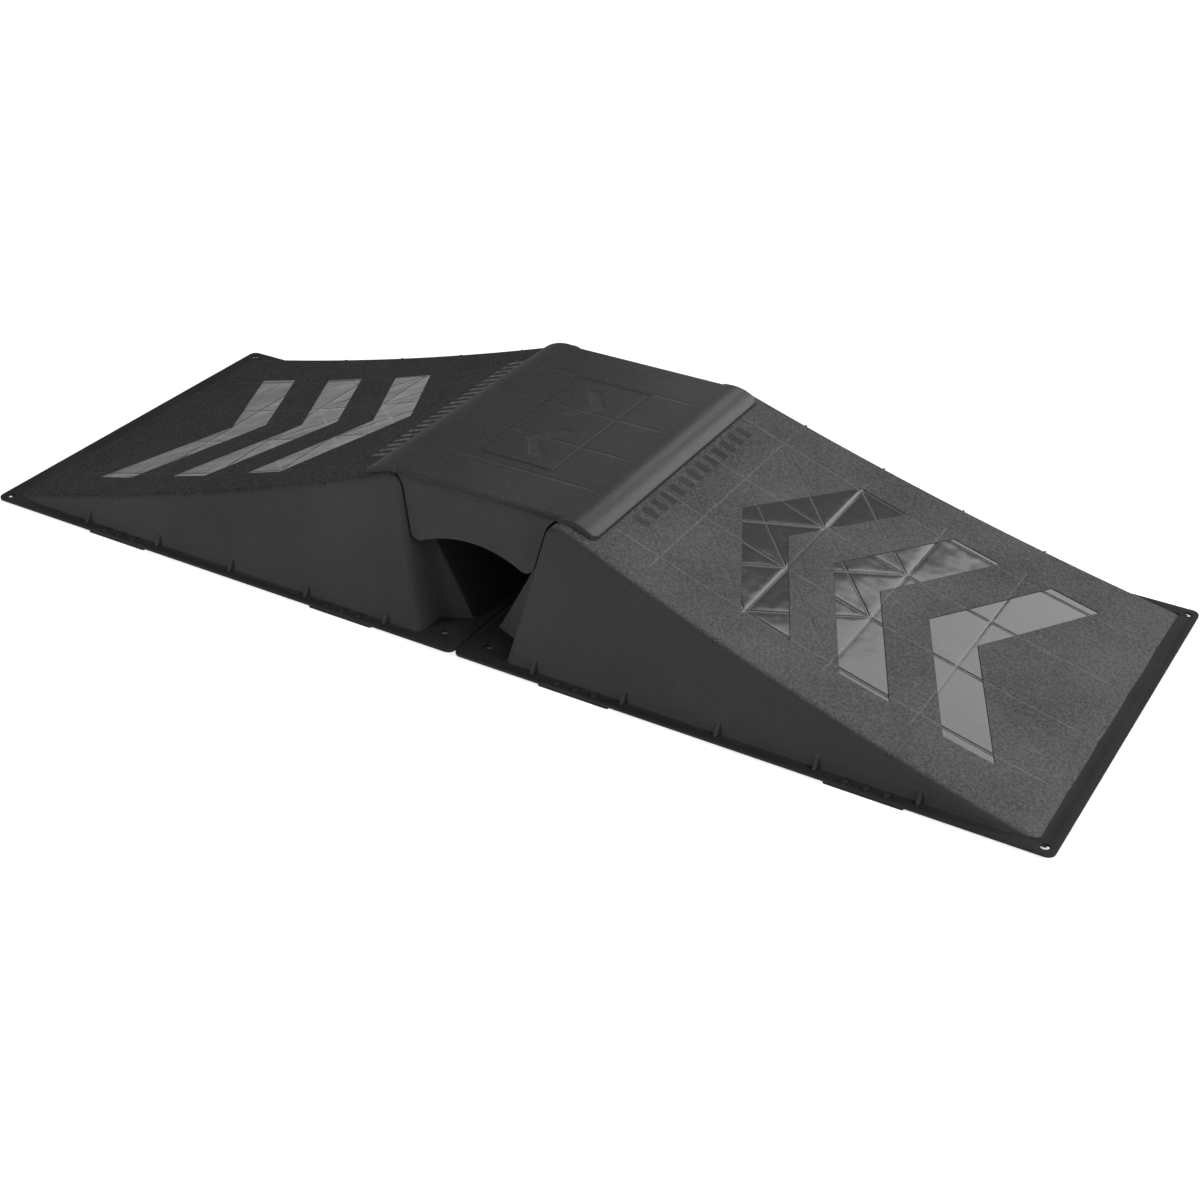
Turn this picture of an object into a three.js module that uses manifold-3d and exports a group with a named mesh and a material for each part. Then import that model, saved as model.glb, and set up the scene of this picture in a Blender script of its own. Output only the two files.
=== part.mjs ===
// Two-way skate ramp: a curved ramp and a straight ramp, back to back, joined by a bridge.
// All three are moulded plastic shells, open underneath, and the ramps stand on rubber pads.
// Millimetres. X runs along the ride, the straight ramp towards +X. Y is across, Z is up.
// The origin is on the ground, midway between the two toes.

import * as THREE from 'three';
import { mergeVertices } from 'three/addons/utils/BufferGeometryUtils.js';
import Module from 'manifold-3d';

const wasm = await Module();
wasm.setup();

// Driving dimensions of both ramps
const rampWidth = 600; // across the flanges
const rampLength = 817; // one ramp, over its flanges
const jointGap = 2; // between the two ramps on the ground
const flangeThickness = 4;
const sideFlange = 17; // from the side wall's foot to the flange's edge
const toeFlange = 21; // flat strip in front of the deck
const flangeCornerRadius = 11;
const sideBatterShare = 0.204; // how far a side wall leans in for each unit of height
const ridgeTop = 203.7;
const ridgeRadius = 22;
const edgeRadius = 10; // between deck and side wall
const deckThickness = 3.5;
const wallThickness = 3;
const overrun = 30; // how far cutting and cut bodies run past what they cut

// What differs between the ramps. Places are distances from the middle plane, the radius is that
// of the hollow deck, and the shift is how far ribs and chevrons sit off the centre line.
const straightRamp = {
  ridge: 130, radius: 4700, foot: 72, ribStart: 122, chevronStart: 267, shift: 0,
};
const curvedRamp = {
  ridge: 136, radius: 5500, foot: 62, ribStart: 115, chevronStart: 260, shift: -12,
};
const curveSteps = 15;
const ridgeSteps = 7;
const edgeSteps = 3;

// Ribs under the deck: a square lattice, with diagonals in the cells near the ridge
const ribPitch = 120;
const ribDepth = 24;
const ribThickness = 2.4;
const crossRibs = 4;
const bracedCells = 3;
const ribToeMargin = 27;

// Buttress in the middle of each end wall
const buttressFoot = 20.3; // from the middle plane to its foot
const buttressFootHalf = 217;
const buttressRootHalf = 237.3; // where its sides leave the end wall
const buttressTop = 170;
const buttressTopHalf = 214;

// Gussets between side wall and flange
const gussetPitch = 133;
const gussetStart = 117;
const gussets = 5;
const gussetReach = 4;
const gussetHeight = 16;
const gussetThickness = 3;

// Chevrons: shallow smooth recesses in the deck that point to the ridge
const chevronPitch = 135;
const chevrons = 3;
const chevronWidth = 68;
const chevronSweep = 96;
const chevronHalfSpan = 189;
const chevronDepth = 1;

// Holes for ground pegs
const pegRadius = 5.8;
const pegInset = 15; // outer holes, from both edges of the flange
const innerPegDistance = 35; // inner holes, from the middle plane
const innerPegInset = 37; // inner holes, from the side edge

// Rubber pads under the flanges, each held by three plugs
const padDrop = 3; // how far a pad stands below the flange
const padLength = 104;
const padWidth = 17;
const padCornerRadius = 3;
const padCornerSteps = 2;
const padFit = 0.3;
const plugPitch = 27;
const plugs = 3;
const plugRadius = 3;
const plugHeadRadius = 4.4;
const plugHeadHeight = 2.2;
const plugFit = 0.3;
const sidePadPlaces = [184, 584]; // centres, from the middle plane
const innerPadDistance = 13.5;
const innerPadOffset = 135;

// Bridge between the ridges
const bridgeThickness = 4;
const bridgeFit = 0.4; // under the lips, over the ridges
const apronThickness = 3.5;
const apronFit = 3; // to the end walls
const apronInset = 11.4; // in from the planes of the ramps' side walls
const apronFoot = 126;
const apronCornerRadius = 12;
const archRise = 17.5;
const archMargin = 15; // from the apron's corner to the arch's end
const archSteps = 12;
const bridgeEdgeRadius = 14;
const lipHalfWidth = 229;
const lipOverlap = 5;
const lipLevel = 14; // from the ridge to where the lip's top starts to fall
const lipFallRadius = 40;
const lipFall = THREE.MathUtils.degToRad(42);
const lipNoseRadius = 4;
const lipCornerRadius = 8;
const bridgeRibPitch = 94.6;
const bridgeRibs = 4;
const bridgeRibDepth = 20;
const roundSteps = 5;
const holeSteps = 16;
const plugSteps = 8;

// Derived levels and places
const flangeBottom = padDrop;
const flangeTop = flangeBottom + flangeThickness;
const flangeStart = jointGap / 2;
const flangeEnd = flangeStart + rampLength;
const toe = flangeEnd - toeFlange;
const halfWidth = rampWidth / 2;
const wallFoot = halfWidth - sideFlange;
const sideLean = Math.atan(sideBatterShare);

// Half the body's width at a height
function bodyHalf(z) {
  return wallFoot - sideBatterShare * (z - flangeTop);
}

// A closed geometry becomes a solid once the vertices that it shares are merged
function solid(geometry) {
  const bare = geometry.clone();
  bare.deleteAttribute('normal');
  bare.deleteAttribute('uv');
  const merged = mergeVertices(bare);
  return new wasm.Manifold(new wasm.Mesh({
    numProp: 3,
    vertProperties: merged.attributes.position.array,
    triVerts: Uint32Array.from(merged.index.array),
  }));
}

function geometryOf(body) {
  const mesh = body.getMesh();
  const geometry = new THREE.BufferGeometry();
  geometry.setAttribute('position', new THREE.BufferAttribute(mesh.vertProperties, 3));
  geometry.setIndex(new THREE.BufferAttribute(mesh.triVerts, 1));
  return geometry;
}

function joined(bodies) {
  return bodies.reduce((sum, body) => sum.add(body));
}

// Mirrors a geometry in the plane X = 0 and turns its faces back outwards
function mirrored(geometry) {
  const copy = geometry.clone().scale(-1, 1, 1);
  const index = copy.index.array;
  for (let i = 0; i < index.length; i += 3) {
    [index[i + 1], index[i + 2]] = [index[i + 2], index[i + 1]];
  }
  return copy;
}

function block(x0, x1, y0, y1, z0, z1) {
  const geometry = new THREE.BoxGeometry(x1 - x0, y1 - y0, z1 - z0);
  return solid(geometry.translate((x0 + x1) / 2, (y0 + y1) / 2, (z0 + z1) / 2));
}

function outline(points) {
  return new THREE.Shape(points.map(([a, b]) => new THREE.Vector2(a, b)));
}

// Extrusions of a flat shape: upwards from XY, across from XZ, and along from YZ
function upright(shape, z0, z1, steps = roundSteps) {
  const geometry = new THREE.ExtrudeGeometry(shape, {
    depth: z1 - z0, bevelEnabled: false, curveSegments: steps,
  });
  return solid(geometry.translate(0, 0, z0));
}

function across(shape, y0, y1) {
  const geometry = new THREE.ExtrudeGeometry(shape, {
    depth: y1 - y0, bevelEnabled: false, curveSegments: roundSteps,
  });
  return solid(geometry.rotateX(Math.PI / 2).translate(0, y1, 0));
}

function along(shape, x0, x1) {
  const geometry = new THREE.ExtrudeGeometry(shape, {
    depth: x1 - x0, bevelEnabled: false, curveSegments: roundSteps,
  });
  const turn = new THREE.Matrix4().makeBasis(
    new THREE.Vector3(0, 1, 0), new THREE.Vector3(0, 0, 1), new THREE.Vector3(1, 0, 0));
  return solid(geometry.applyMatrix4(turn).translate(x0, 0, 0));
}

function roundedRectangle(x0, x1, y0, y1, radius) {
  const shape = new THREE.Shape();
  shape.absarc(x1 - radius, y0 + radius, radius, -Math.PI / 2, 0);
  shape.absarc(x1 - radius, y1 - radius, radius, 0, Math.PI / 2);
  shape.absarc(x0 + radius, y1 - radius, radius, Math.PI / 2, Math.PI);
  shape.absarc(x0 + radius, y0 + radius, radius, Math.PI, 1.5 * Math.PI);
  return shape;
}

function drill(x, y, radius, steps) {
  const height = flangeThickness + 2 * overrun;
  const geometry = new THREE.CylinderGeometry(radius, radius, height, steps);
  return solid(geometry.rotateX(Math.PI / 2).translate(x, y, flangeBottom + flangeThickness / 2));
}

// An upright plate of even thickness over the line from a to b
function plate(a, b, thickness, z0, z1) {
  const line = new THREE.Vector2(b[0] - a[0], b[1] - a[1]);
  const side = new THREE.Vector2(-line.y, line.x).setLength(thickness / 2);
  return upright(outline([
    [a[0] - side.x, a[1] - side.y], [b[0] - side.x, b[1] - side.y],
    [b[0] + side.x, b[1] + side.y], [a[0] + side.x, a[1] + side.y],
  ]), z0, z1);
}

// The side profile of a ramp, seen with its toe to the right: deck, ridge and end wall. Each
// station is a point of the profile with its outward normal, so the profile inset by any
// distance is the same stations moved in along their normals. The deck is an arc from the toe
// that touches the ridge's round.
function stationsOf(ramp) {
  const centre = new THREE.Vector2(ramp.ridge, ridgeTop - ridgeRadius);
  const toePoint = new THREE.Vector2(toe, flangeTop);
  const foot = new THREE.Vector2(ramp.foot, flangeTop);
  const unit = (angle) => new THREE.Vector2(Math.cos(angle), Math.sin(angle));
  const arm = centre.clone().sub(toePoint);
  const reach = ramp.radius + ridgeRadius;
  const base = (ramp.radius ** 2 - reach ** 2 + arm.lengthSq()) / (2 * arm.length());
  const rise = Math.sqrt(ramp.radius ** 2 - base ** 2);
  const towards = arm.clone().normalize();
  const middle = toePoint.clone().addScaledVector(towards, base)
    .add(new THREE.Vector2(towards.y, -towards.x).multiplyScalar(rise));
  const from = toePoint.clone().sub(middle).angle() + overrun / ramp.radius;
  const to = centre.clone().sub(middle).angle();
  const deck = [];
  for (let i = 0; i < curveSteps; i += 1) {
    const angle = from + (to - from) * i / curveSteps;
    const point = middle.clone().addScaledVector(unit(angle), ramp.radius);
    deck.push({ point, normal: unit(angle).negate() });
  }
  const ridge = [];
  const deckAngle = to - Math.PI;
  const leg = foot.clone().sub(centre);
  const wallAngle = leg.angle() - Math.acos(ridgeRadius / leg.length());
  for (let i = 0; i <= ridgeSteps; i += 1) {
    const angle = deckAngle + (wallAngle - deckAngle) * i / ridgeSteps;
    ridge.push({ point: centre.clone().addScaledVector(unit(angle), ridgeRadius), normal: unit(angle) });
  }
  const wallNormal = unit(wallAngle);
  const down = new THREE.Vector2(-wallNormal.y, wallNormal.x);
  const wall = [{ point: foot.clone().addScaledVector(down, overrun), normal: wallNormal }];
  return { deck, ridge, wall };
}

function inset(station, distance) {
  const point = station.point.clone().addScaledVector(station.normal, -distance);
  return [point.x, point.y];
}

// A ramp's body as one solid: the side profile carried across from side wall to side wall, with
// the edge between deck and wall rounded. Inset, it is the hollow under a deck and walls of a
// given thickness.
function bodySolid(ramp, deckInset, wallInset) {
  const { deck, ridge, wall } = stationsOf(ramp);
  const stations = [...deck, ...ridge, ...wall];
  const radius = edgeRadius - wallInset;
  const turns = [];
  for (let j = 0; j <= edgeSteps; j += 1) turns.push(Math.PI / 2 * (1 - j / edgeSteps));
  const columns = [
    ...turns.map((turn) => ({ turn, side: -1 })),
    ...turns.map((turn) => ({ turn, side: 1 })).reverse(),
  ];
  const positions = [];
  stations.forEach((station) => columns.forEach(({ turn, side }) => {
    const [x, z] = inset(station, deckInset + radius * (1 - Math.cos(turn)));
    const half = bodyHalf(z) - wallInset / Math.cos(sideLean) - radius * (1 - Math.sin(turn));
    positions.push(x, side * half, z);
  }));
  const count = columns.length;
  const index = [];
  const quad = (a, b, c, d) => index.push(a, b, c, a, c, d);
  for (let i = 0; i < stations.length; i += 1) {
    const next = (i + 1) % stations.length;
    for (let j = 0; j + 1 < count; j += 1) {
      quad(i * count + j, i * count + j + 1, next * count + j + 1, next * count + j);
    }
  }
  const rim = stations.map((station) => new THREE.Vector2(...inset(station, deckInset + radius)));
  THREE.ShapeUtils.triangulateShape(rim, []).forEach(([a, b, c]) => {
    index.push(a * count, b * count, c * count);
    index.push(a * count + count - 1, c * count + count - 1, b * count + count - 1);
  });
  const geometry = new THREE.BufferGeometry();
  geometry.setAttribute('position', new THREE.Float32BufferAttribute(positions, 3));
  geometry.setIndex(index);
  return solid(geometry);
}

// The buttress: a wedge that leans from its foot on the flange back to the end wall
function buttress(ramp, thickness) {
  const { ridge, wall } = stationsOf(ramp);
  const batter = wall[0].normal.y / -wall[0].normal.x;
  const wallAt = (z) => ramp.foot + batter * (z - flangeTop);
  const frontLean = Math.atan((wallAt(buttressTop) - buttressFoot) / (buttressTop - flangeTop));
  const planLean = Math.atan((buttressRootHalf - buttressFootHalf) / (ramp.foot - buttressFoot));
  const back = thickness / Math.cos(frontLean);
  const side = thickness / Math.cos(planLean);
  const depth = wallThickness / 2 + (thickness > 0 ? 2 * wallThickness : 0);
  const base = thickness > 0 ? flangeBottom - overrun : flangeBottom + flangeThickness / 2;
  const slide = (base - flangeTop) / (buttressTop - flangeTop);
  const frontAt = buttressFoot + slide * (wallAt(buttressTop) - buttressFoot) + back;
  const rootAt = wallAt(base) + depth;
  const crest = wallAt(buttressTop) + back;
  const frontHalf = buttressFootHalf + slide * (buttressTopHalf - buttressFootHalf) - side;
  const rootHalf = buttressRootHalf + slide * (buttressTopHalf - buttressRootHalf) - side;
  const crestHalf = buttressTopHalf - side;
  const points = [
    [frontAt, -frontHalf, base], [frontAt, frontHalf, base],
    [rootAt, rootHalf, base], [rootAt, -rootHalf, base],
    [crest, -crestHalf, buttressTop], [crest, crestHalf, buttressTop],
    [wallAt(buttressTop) + depth + back, crestHalf, buttressTop],
    [wallAt(buttressTop) + depth + back, -crestHalf, buttressTop],
  ];
  const faces = [
    [0, 1, 5, 4], [1, 2, 6, 5], [2, 3, 7, 6], [3, 0, 4, 7], [4, 5, 6, 7], [3, 2, 1, 0],
  ];
  const geometry = new THREE.BufferGeometry();
  geometry.setAttribute('position', new THREE.Float32BufferAttribute(points.flat(), 3));
  geometry.setIndex(faces.flatMap(([a, b, c, d]) => [a, c, b, a, d, c]));
  return solid(geometry);
}

// The lattice of ribs under a deck, cut to an even depth below it
function ribs(ramp) {
  const { deck, ridge } = stationsOf(ramp);
  const low = flangeBottom;
  const half = bracedCells * ribPitch / 2;
  const plates = [];
  for (let j = 0; j <= bracedCells; j += 1) {
    const y = ramp.shift + j * ribPitch - half;
    plates.push(plate([0, y], [toe - ribToeMargin, y], ribThickness, low, ridgeTop));
  }
  for (let i = 1; i <= crossRibs; i += 1) {
    const x = ramp.ribStart + i * ribPitch;
    plates.push(plate([x, -halfWidth], [x, halfWidth], ribThickness, low, ridgeTop));
  }
  for (let k = 1 - bracedCells; k < bracedCells; k += 1) {
    const from = [Math.max(0, k), Math.max(0, -k)];
    const to = [Math.min(bracedCells, bracedCells + k), Math.min(bracedCells, bracedCells - k)];
    [-1, 1].forEach((side) => {
      const place = ([i, j]) => [
        ramp.ribStart + i * ribPitch, ramp.shift + side * (j * ribPitch - half),
      ];
      plates.push(plate(place(from), place(to), ribThickness, low, ridgeTop));
    });
  }
  const depth = deckThickness + ribDepth;
  const under = [...deck, ridge[0]].map((station) => inset(station, depth));
  const last = ridge[0];
  const uphill = new THREE.Vector2(-last.normal.y, last.normal.x);
  const [x, z] = under[under.length - 1];
  const run = ramp.ridge;
  under.push([x + uphill.x * run, z + uphill.y * run]);
  under.push([x + uphill.x * run, -overrun], [under[0][0], -overrun]);
  return joined(plates)
    .intersect(bodySolid(ramp, deckThickness / 2, wallThickness / 2))
    .subtract(across(outline(under), -halfWidth, halfWidth))
    .intersect(block(0, flangeEnd, -halfWidth, halfWidth, flangeBottom, ridgeTop));
}

// A pair of gussets: small webs that brace both side walls against the flange
function gussetPair(place) {
  const crest = flangeTop + gussetHeight;
  const root = bodyHalf(crest) - wallThickness / 2;
  const section = [
    [root, flangeTop - flangeThickness / 2],
    [wallFoot + gussetReach, flangeTop - flangeThickness / 2],
    [wallFoot + gussetReach, flangeTop],
    [bodyHalf(crest), crest],
    [root, crest],
  ];
  return [-1, 1].map((side) => along(outline(section.map(([y, z]) => [side * y, z])),
    place - gussetThickness / 2, place + gussetThickness / 2));
}

function chevronCut(ramp) {
  const prisms = [];
  for (let i = 0; i < chevrons; i += 1) {
    const apex = ramp.chevronStart + i * chevronPitch;
    const tip = apex + chevronSweep;
    prisms.push(upright(outline([
      [apex, 0], [tip, -chevronHalfSpan], [tip + chevronWidth, -chevronHalfSpan],
      [apex + chevronWidth, 0], [tip + chevronWidth, chevronHalfSpan], [tip, chevronHalfSpan],
    ].map(([x, y]) => [x, y + ramp.shift])), flangeTop, ridgeTop));
  }
  return joined(prisms).subtract(bodySolid(ramp, chevronDepth, 0));
}

// Places of a pad's plugs, with the pad's centre and whether it lies along or across
function padsOf() {
  const sideOffset = halfWidth - padWidth / 2;
  return [
    ...sidePadPlaces.flatMap((x, i) => [-1, 1].map((side) => ({
      name: `side_${side < 0 ? 'near' : 'far'}_${i === 0 ? 'ridge' : 'toe'}`,
      x, y: side * sideOffset, lengthwise: true,
    }))),
    ...[-1, 1].map((side) => ({
      name: `inner_${side < 0 ? 'near' : 'far'}`,
      x: innerPadDistance, y: side * innerPadOffset, lengthwise: false,
    })),
  ];
}

function plugPlaces(pad) {
  const places = [];
  for (let i = 0; i < plugs; i += 1) {
    const shift = (i - (plugs - 1) / 2) * plugPitch;
    places.push(pad.lengthwise ? [pad.x + shift, pad.y] : [pad.x, pad.y + shift]);
  }
  return places;
}

function rampShell(ramp) {
  const flange = upright(
    roundedRectangle(flangeStart, flangeEnd, -halfWidth, halfWidth, flangeCornerRadius),
    flangeBottom, flangeTop);
  const above = block(0, flangeEnd, -halfWidth, halfWidth,
    flangeBottom + flangeThickness / 2, ridgeTop + overrun);
  let shell = joined([flange, bodySolid(ramp, 0, 0).intersect(above), buttress(ramp, 0)])
    .subtract(bodySolid(ramp, deckThickness, wallThickness))
    .subtract(buttress(ramp, wallThickness))
    .add(ribs(ramp))
    .subtract(chevronCut(ramp));
  for (let i = 0; i < gussets; i += 1) {
    shell = joined([shell, ...gussetPair(gussetStart + i * gussetPitch)]);
  }
  [-1, 1].forEach((side) => {
    shell = shell
      .subtract(drill(flangeEnd - pegInset, side * (halfWidth - pegInset), pegRadius, holeSteps))
      .subtract(drill(innerPegDistance, side * (halfWidth - innerPegInset), pegRadius, holeSteps));
  });
  padsOf().flatMap(plugPlaces).forEach(([x, y]) => {
    shell = shell.subtract(drill(x, y, plugRadius + plugFit, plugSteps));
  });
  return geometryOf(shell);
}

function padGeometry(pad) {
  const long = pad.lengthwise ? padLength : padWidth;
  const wide = pad.lengthwise ? padWidth : padLength;
  const top = flangeBottom - padFit;
  const strip = upright(roundedRectangle(pad.x - long / 2, pad.x + long / 2,
    pad.y - wide / 2, pad.y + wide / 2, padCornerRadius), 0, top, padCornerSteps);
  const seat = flangeTop + padFit;
  const profile = [
    [0, padDrop / 2], [plugRadius, padDrop / 2], [plugRadius, seat], [plugHeadRadius, seat],
    [plugRadius, seat + plugHeadHeight], [0, seat + plugHeadHeight],
  ].map(([radius, z]) => new THREE.Vector2(radius, z));
  const plug = new THREE.LatheGeometry(profile, plugSteps).rotateX(Math.PI / 2);
  return geometryOf(joined([
    strip, ...plugPlaces(pad).map(([x, y]) => solid(plug.clone().translate(x, y, 0))),
  ]));
}

// A lip of the bridge: its underside follows the ramp's ridge and deck at a fit's distance. Its
// top runs level past the ridge and falls in an arc to a small round nose on the deck.
function lip(ramp) {
  const crown = stationsOf(ramp).ridge.filter(({ point }) => point.x >= ramp.ridge).reverse();
  const last = crown[crown.length - 1];
  const downhill = new THREE.Vector2(last.normal.y, -last.normal.x);
  const top = ridgeTop + bridgeFit + bridgeThickness;
  const start = ramp.ridge - lipOverlap;
  const fallX = ramp.ridge + lipLevel;
  const noseX = fallX + (lipFallRadius - lipNoseRadius) * Math.sin(lipFall);
  const noseZ = top - lipFallRadius + (lipFallRadius - lipNoseRadius) * Math.cos(lipFall);
  const run = (noseX + lipNoseRadius * downhill.x - last.point.x) / downhill.x;
  const end = last.point.clone().addScaledVector(downhill, run)
    .addScaledVector(last.normal, run ** 2 / (2 * ramp.radius));
  const shape = new THREE.Shape();
  shape.moveTo(start, top);
  shape.lineTo(fallX, top);
  shape.absarc(fallX, top - lipFallRadius, lipFallRadius, Math.PI / 2, Math.PI / 2 - lipFall, true);
  shape.absarc(noseX, noseZ, lipNoseRadius, Math.PI / 2 - lipFall, downhill.angle() - 2 * Math.PI, true);
  [...crown, { point: end, normal: last.normal }].reverse()
    .forEach((station) => shape.lineTo(...inset(station, -bridgeFit)));
  shape.lineTo(ramp.ridge, ridgeTop + bridgeFit);
  shape.lineTo(start, ridgeTop + bridgeFit);
  return geometryOf(across(shape, -lipHalfWidth, lipHalfWidth).intersect(upright(
    roundedRectangle(0, end.x, -lipHalfWidth, lipHalfWidth, lipCornerRadius), 0, top + overrun)));
}

// The space that a ramp fills, grown by a clearance, as a prism right across
function rampSpace(ramp, clearance) {
  const { deck, ridge, wall } = stationsOf(ramp);
  const points = [...deck, ...ridge, ...wall].map((station) => inset(station, -clearance));
  return geometryOf(across(outline(points), -halfWidth, halfWidth));
}

// The middle of the bridge: a deck with leaning side aprons, cut away where the ramps stand
// and arched along its lower edge
function bridgeMiddle() {
  const top = ridgeTop + bridgeFit + bridgeThickness;
  const half = (z) => bodyHalf(z) - apronInset;
  const channel = (drop, side, radius, low) => {
    const level = top - drop;
    const shape = new THREE.Shape();
    const cut = radius * Math.tan((Math.PI / 2 - sideLean) / 2);
    const corner = half(level) - side / Math.cos(sideLean);
    const foot = half(low) - side / Math.cos(sideLean);
    shape.moveTo(-foot, low);
    shape.lineTo(foot, low);
    shape.absarc(corner - cut, level - radius, radius, sideLean, Math.PI / 2);
    shape.absarc(cut - corner, level - radius, radius, Math.PI / 2, Math.PI - sideLean);
    return shape;
  };
  const outer = along(channel(0, 0, bridgeEdgeRadius, apronFoot), -curvedRamp.ridge, straightRamp.ridge);
  const hollow = along(
    channel(bridgeThickness, apronThickness, bridgeEdgeRadius - apronThickness, apronFoot - overrun),
    -curvedRamp.ridge - overrun, straightRamp.ridge + overrun);
  const plates = [];
  for (let i = 0; i < bridgeRibs; i += 1) {
    const y = (i - (bridgeRibs - 1) / 2) * bridgeRibPitch;
    plates.push(plate([-curvedRamp.ridge, y], [straightRamp.ridge, y], ribThickness,
      top - bridgeThickness - bridgeRibDepth, top - bridgeThickness / 2));
  }
  return joined([outer.subtract(hollow), ...plates])
    .subtract(solid(mirrored(rampSpace(curvedRamp, apronFit))))
    .subtract(solid(rampSpace(straightRamp, apronFit)));
}

// What is cut from the aprons' lower edge: two rounded corners and a shallow arch
function apronCut() {
  const corner = (ramp) => {
    const { wall } = stationsOf(ramp);
    const { normal } = wall[0];
    const batter = normal.y / -normal.x;
    const at = ramp.foot + batter * (apronFoot - flangeTop) - apronFit / -normal.x;
    return { at, lean: Math.atan(batter) };
  };
  const left = corner(curvedRamp);
  const right = corner(straightRamp);
  const chordFrom = -left.at + archMargin;
  const chordTo = right.at - archMargin;
  const middle = (chordFrom + chordTo) / 2;
  const chord = (chordTo - chordFrom) / 2;
  const radius = (chord ** 2 + archRise ** 2) / (2 * archRise);
  const spread = Math.asin(chord / radius);
  const shape = new THREE.Shape();
  const low = apronFoot - overrun;
  shape.moveTo(chordFrom, low);
  shape.lineTo(chordTo, low);
  for (let i = 0; i <= archSteps; i += 1) {
    const angle = Math.PI / 2 - spread + 2 * spread * i / archSteps;
    shape.lineTo(middle + radius * Math.cos(angle),
      apronFoot + archRise + radius * (Math.sin(angle) - 1));
  }
  const arch = across(shape, -halfWidth, halfWidth);
  const rounding = ({ at, lean }) => {
    const centre = at - apronCornerRadius * Math.tan((Math.PI / 2 - lean) / 2);
    const rise = apronFoot + apronCornerRadius;
    const piece = new THREE.Shape();
    piece.moveTo(centre, low);
    piece.lineTo(at + overrun, low);
    piece.lineTo(at + overrun, rise - apronCornerRadius * Math.sin(lean));
    piece.absarc(centre, rise, apronCornerRadius, -lean, -Math.PI / 2, true);
    return geometryOf(across(piece, -halfWidth, halfWidth));
  };
  return joined([arch, solid(rounding(right)), solid(mirrored(rounding(left)))]);
}

function bridgeGeometry() {
  return geometryOf(joined([
    bridgeMiddle().subtract(apronCut()),
    solid(lip(straightRamp)),
    solid(mirrored(lip(curvedRamp))),
  ]));
}

const shellPlastic = new THREE.MeshStandardMaterial({ color: 0x2b2c2e, roughness: 0.6, metalness: 0 });
const deckPlastic = new THREE.MeshStandardMaterial({ color: 0x333436, roughness: 0.55, metalness: 0 });
const padRubber = new THREE.MeshStandardMaterial({ color: 0x161616, roughness: 0.9, metalness: 0 });

function named(name, geometry, material) {
  const mesh = new THREE.Mesh(geometry, material);
  mesh.name = name;
  return mesh;
}

function rampGroup(name, ramp, side) {
  const place = (geometry) => (side < 0 ? mirrored(geometry) : geometry);
  const group = new THREE.Group();
  group.add(named(`${name}_ramp`, place(rampShell(ramp)), shellPlastic));
  padsOf().forEach((pad) => {
    group.add(named(`${name}_pad_${pad.name}`, place(padGeometry(pad)), padRubber));
  });
  return group;
}

const skateRamp = new THREE.Group();
skateRamp.add(rampGroup('curved', curvedRamp, -1));
skateRamp.add(rampGroup('straight', straightRamp, 1));
skateRamp.add(named('bridge', bridgeGeometry(), deckPlastic));

export default skateRamp;
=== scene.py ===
"""Two-way skate ramp: a curved ramp and a straight ramp, back to back, joined by a bridge.

X runs along the ride, the straight ramp towards +X. Y is across, Z is up. Shapes are worked out
in millimetres and put into their meshes in metres.
"""
from types import SimpleNamespace

import bmesh
import bpy
import numpy as np
from mathutils import Matrix, Vector


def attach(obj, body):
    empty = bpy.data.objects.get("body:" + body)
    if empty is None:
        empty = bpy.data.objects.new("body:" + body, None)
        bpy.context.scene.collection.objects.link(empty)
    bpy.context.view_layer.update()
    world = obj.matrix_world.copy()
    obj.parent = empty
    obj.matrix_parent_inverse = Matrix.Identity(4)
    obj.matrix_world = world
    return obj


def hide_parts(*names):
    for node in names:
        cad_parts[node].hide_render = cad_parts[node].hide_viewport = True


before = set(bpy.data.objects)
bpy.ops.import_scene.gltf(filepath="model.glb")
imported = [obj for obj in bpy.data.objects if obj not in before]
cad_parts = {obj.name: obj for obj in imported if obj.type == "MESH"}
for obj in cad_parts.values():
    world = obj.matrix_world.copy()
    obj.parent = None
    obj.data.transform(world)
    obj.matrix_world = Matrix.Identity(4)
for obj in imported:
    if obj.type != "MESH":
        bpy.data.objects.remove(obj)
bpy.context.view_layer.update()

# The camera stands 2.6 m off to the near right of the ramp, at chest height, and looks down at it
# with a normal lens.
lens, sensor = 57.35, 36
elevation, azimuth, roll = 0.55988, 0.52928, 0.004
camera_distance = 2.6262
aim = Vector((0.096369, -0.080258, 0))

back = Vector((np.sin(azimuth) * np.cos(elevation), -np.cos(azimuth) * np.cos(elevation),
               np.sin(elevation)))
level_axis = (-back).cross(Vector((0, 0, 1))).normalized()
upward = level_axis.cross(-back)
right_axis = level_axis * np.cos(roll) + upward * np.sin(roll)
top_axis = upward * np.cos(roll) - level_axis * np.sin(roll)
camera = bpy.data.objects.new("camera", bpy.data.cameras.new("camera"))
camera.data.lens, camera.data.sensor_width = lens, sensor
camera.matrix_world = Matrix.Translation(aim + back * camera_distance) @ Matrix(
    (right_axis, top_axis, back)).transposed().to_4x4()
bpy.context.scene.collection.objects.link(camera)
bpy.context.scene.camera = camera

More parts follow.
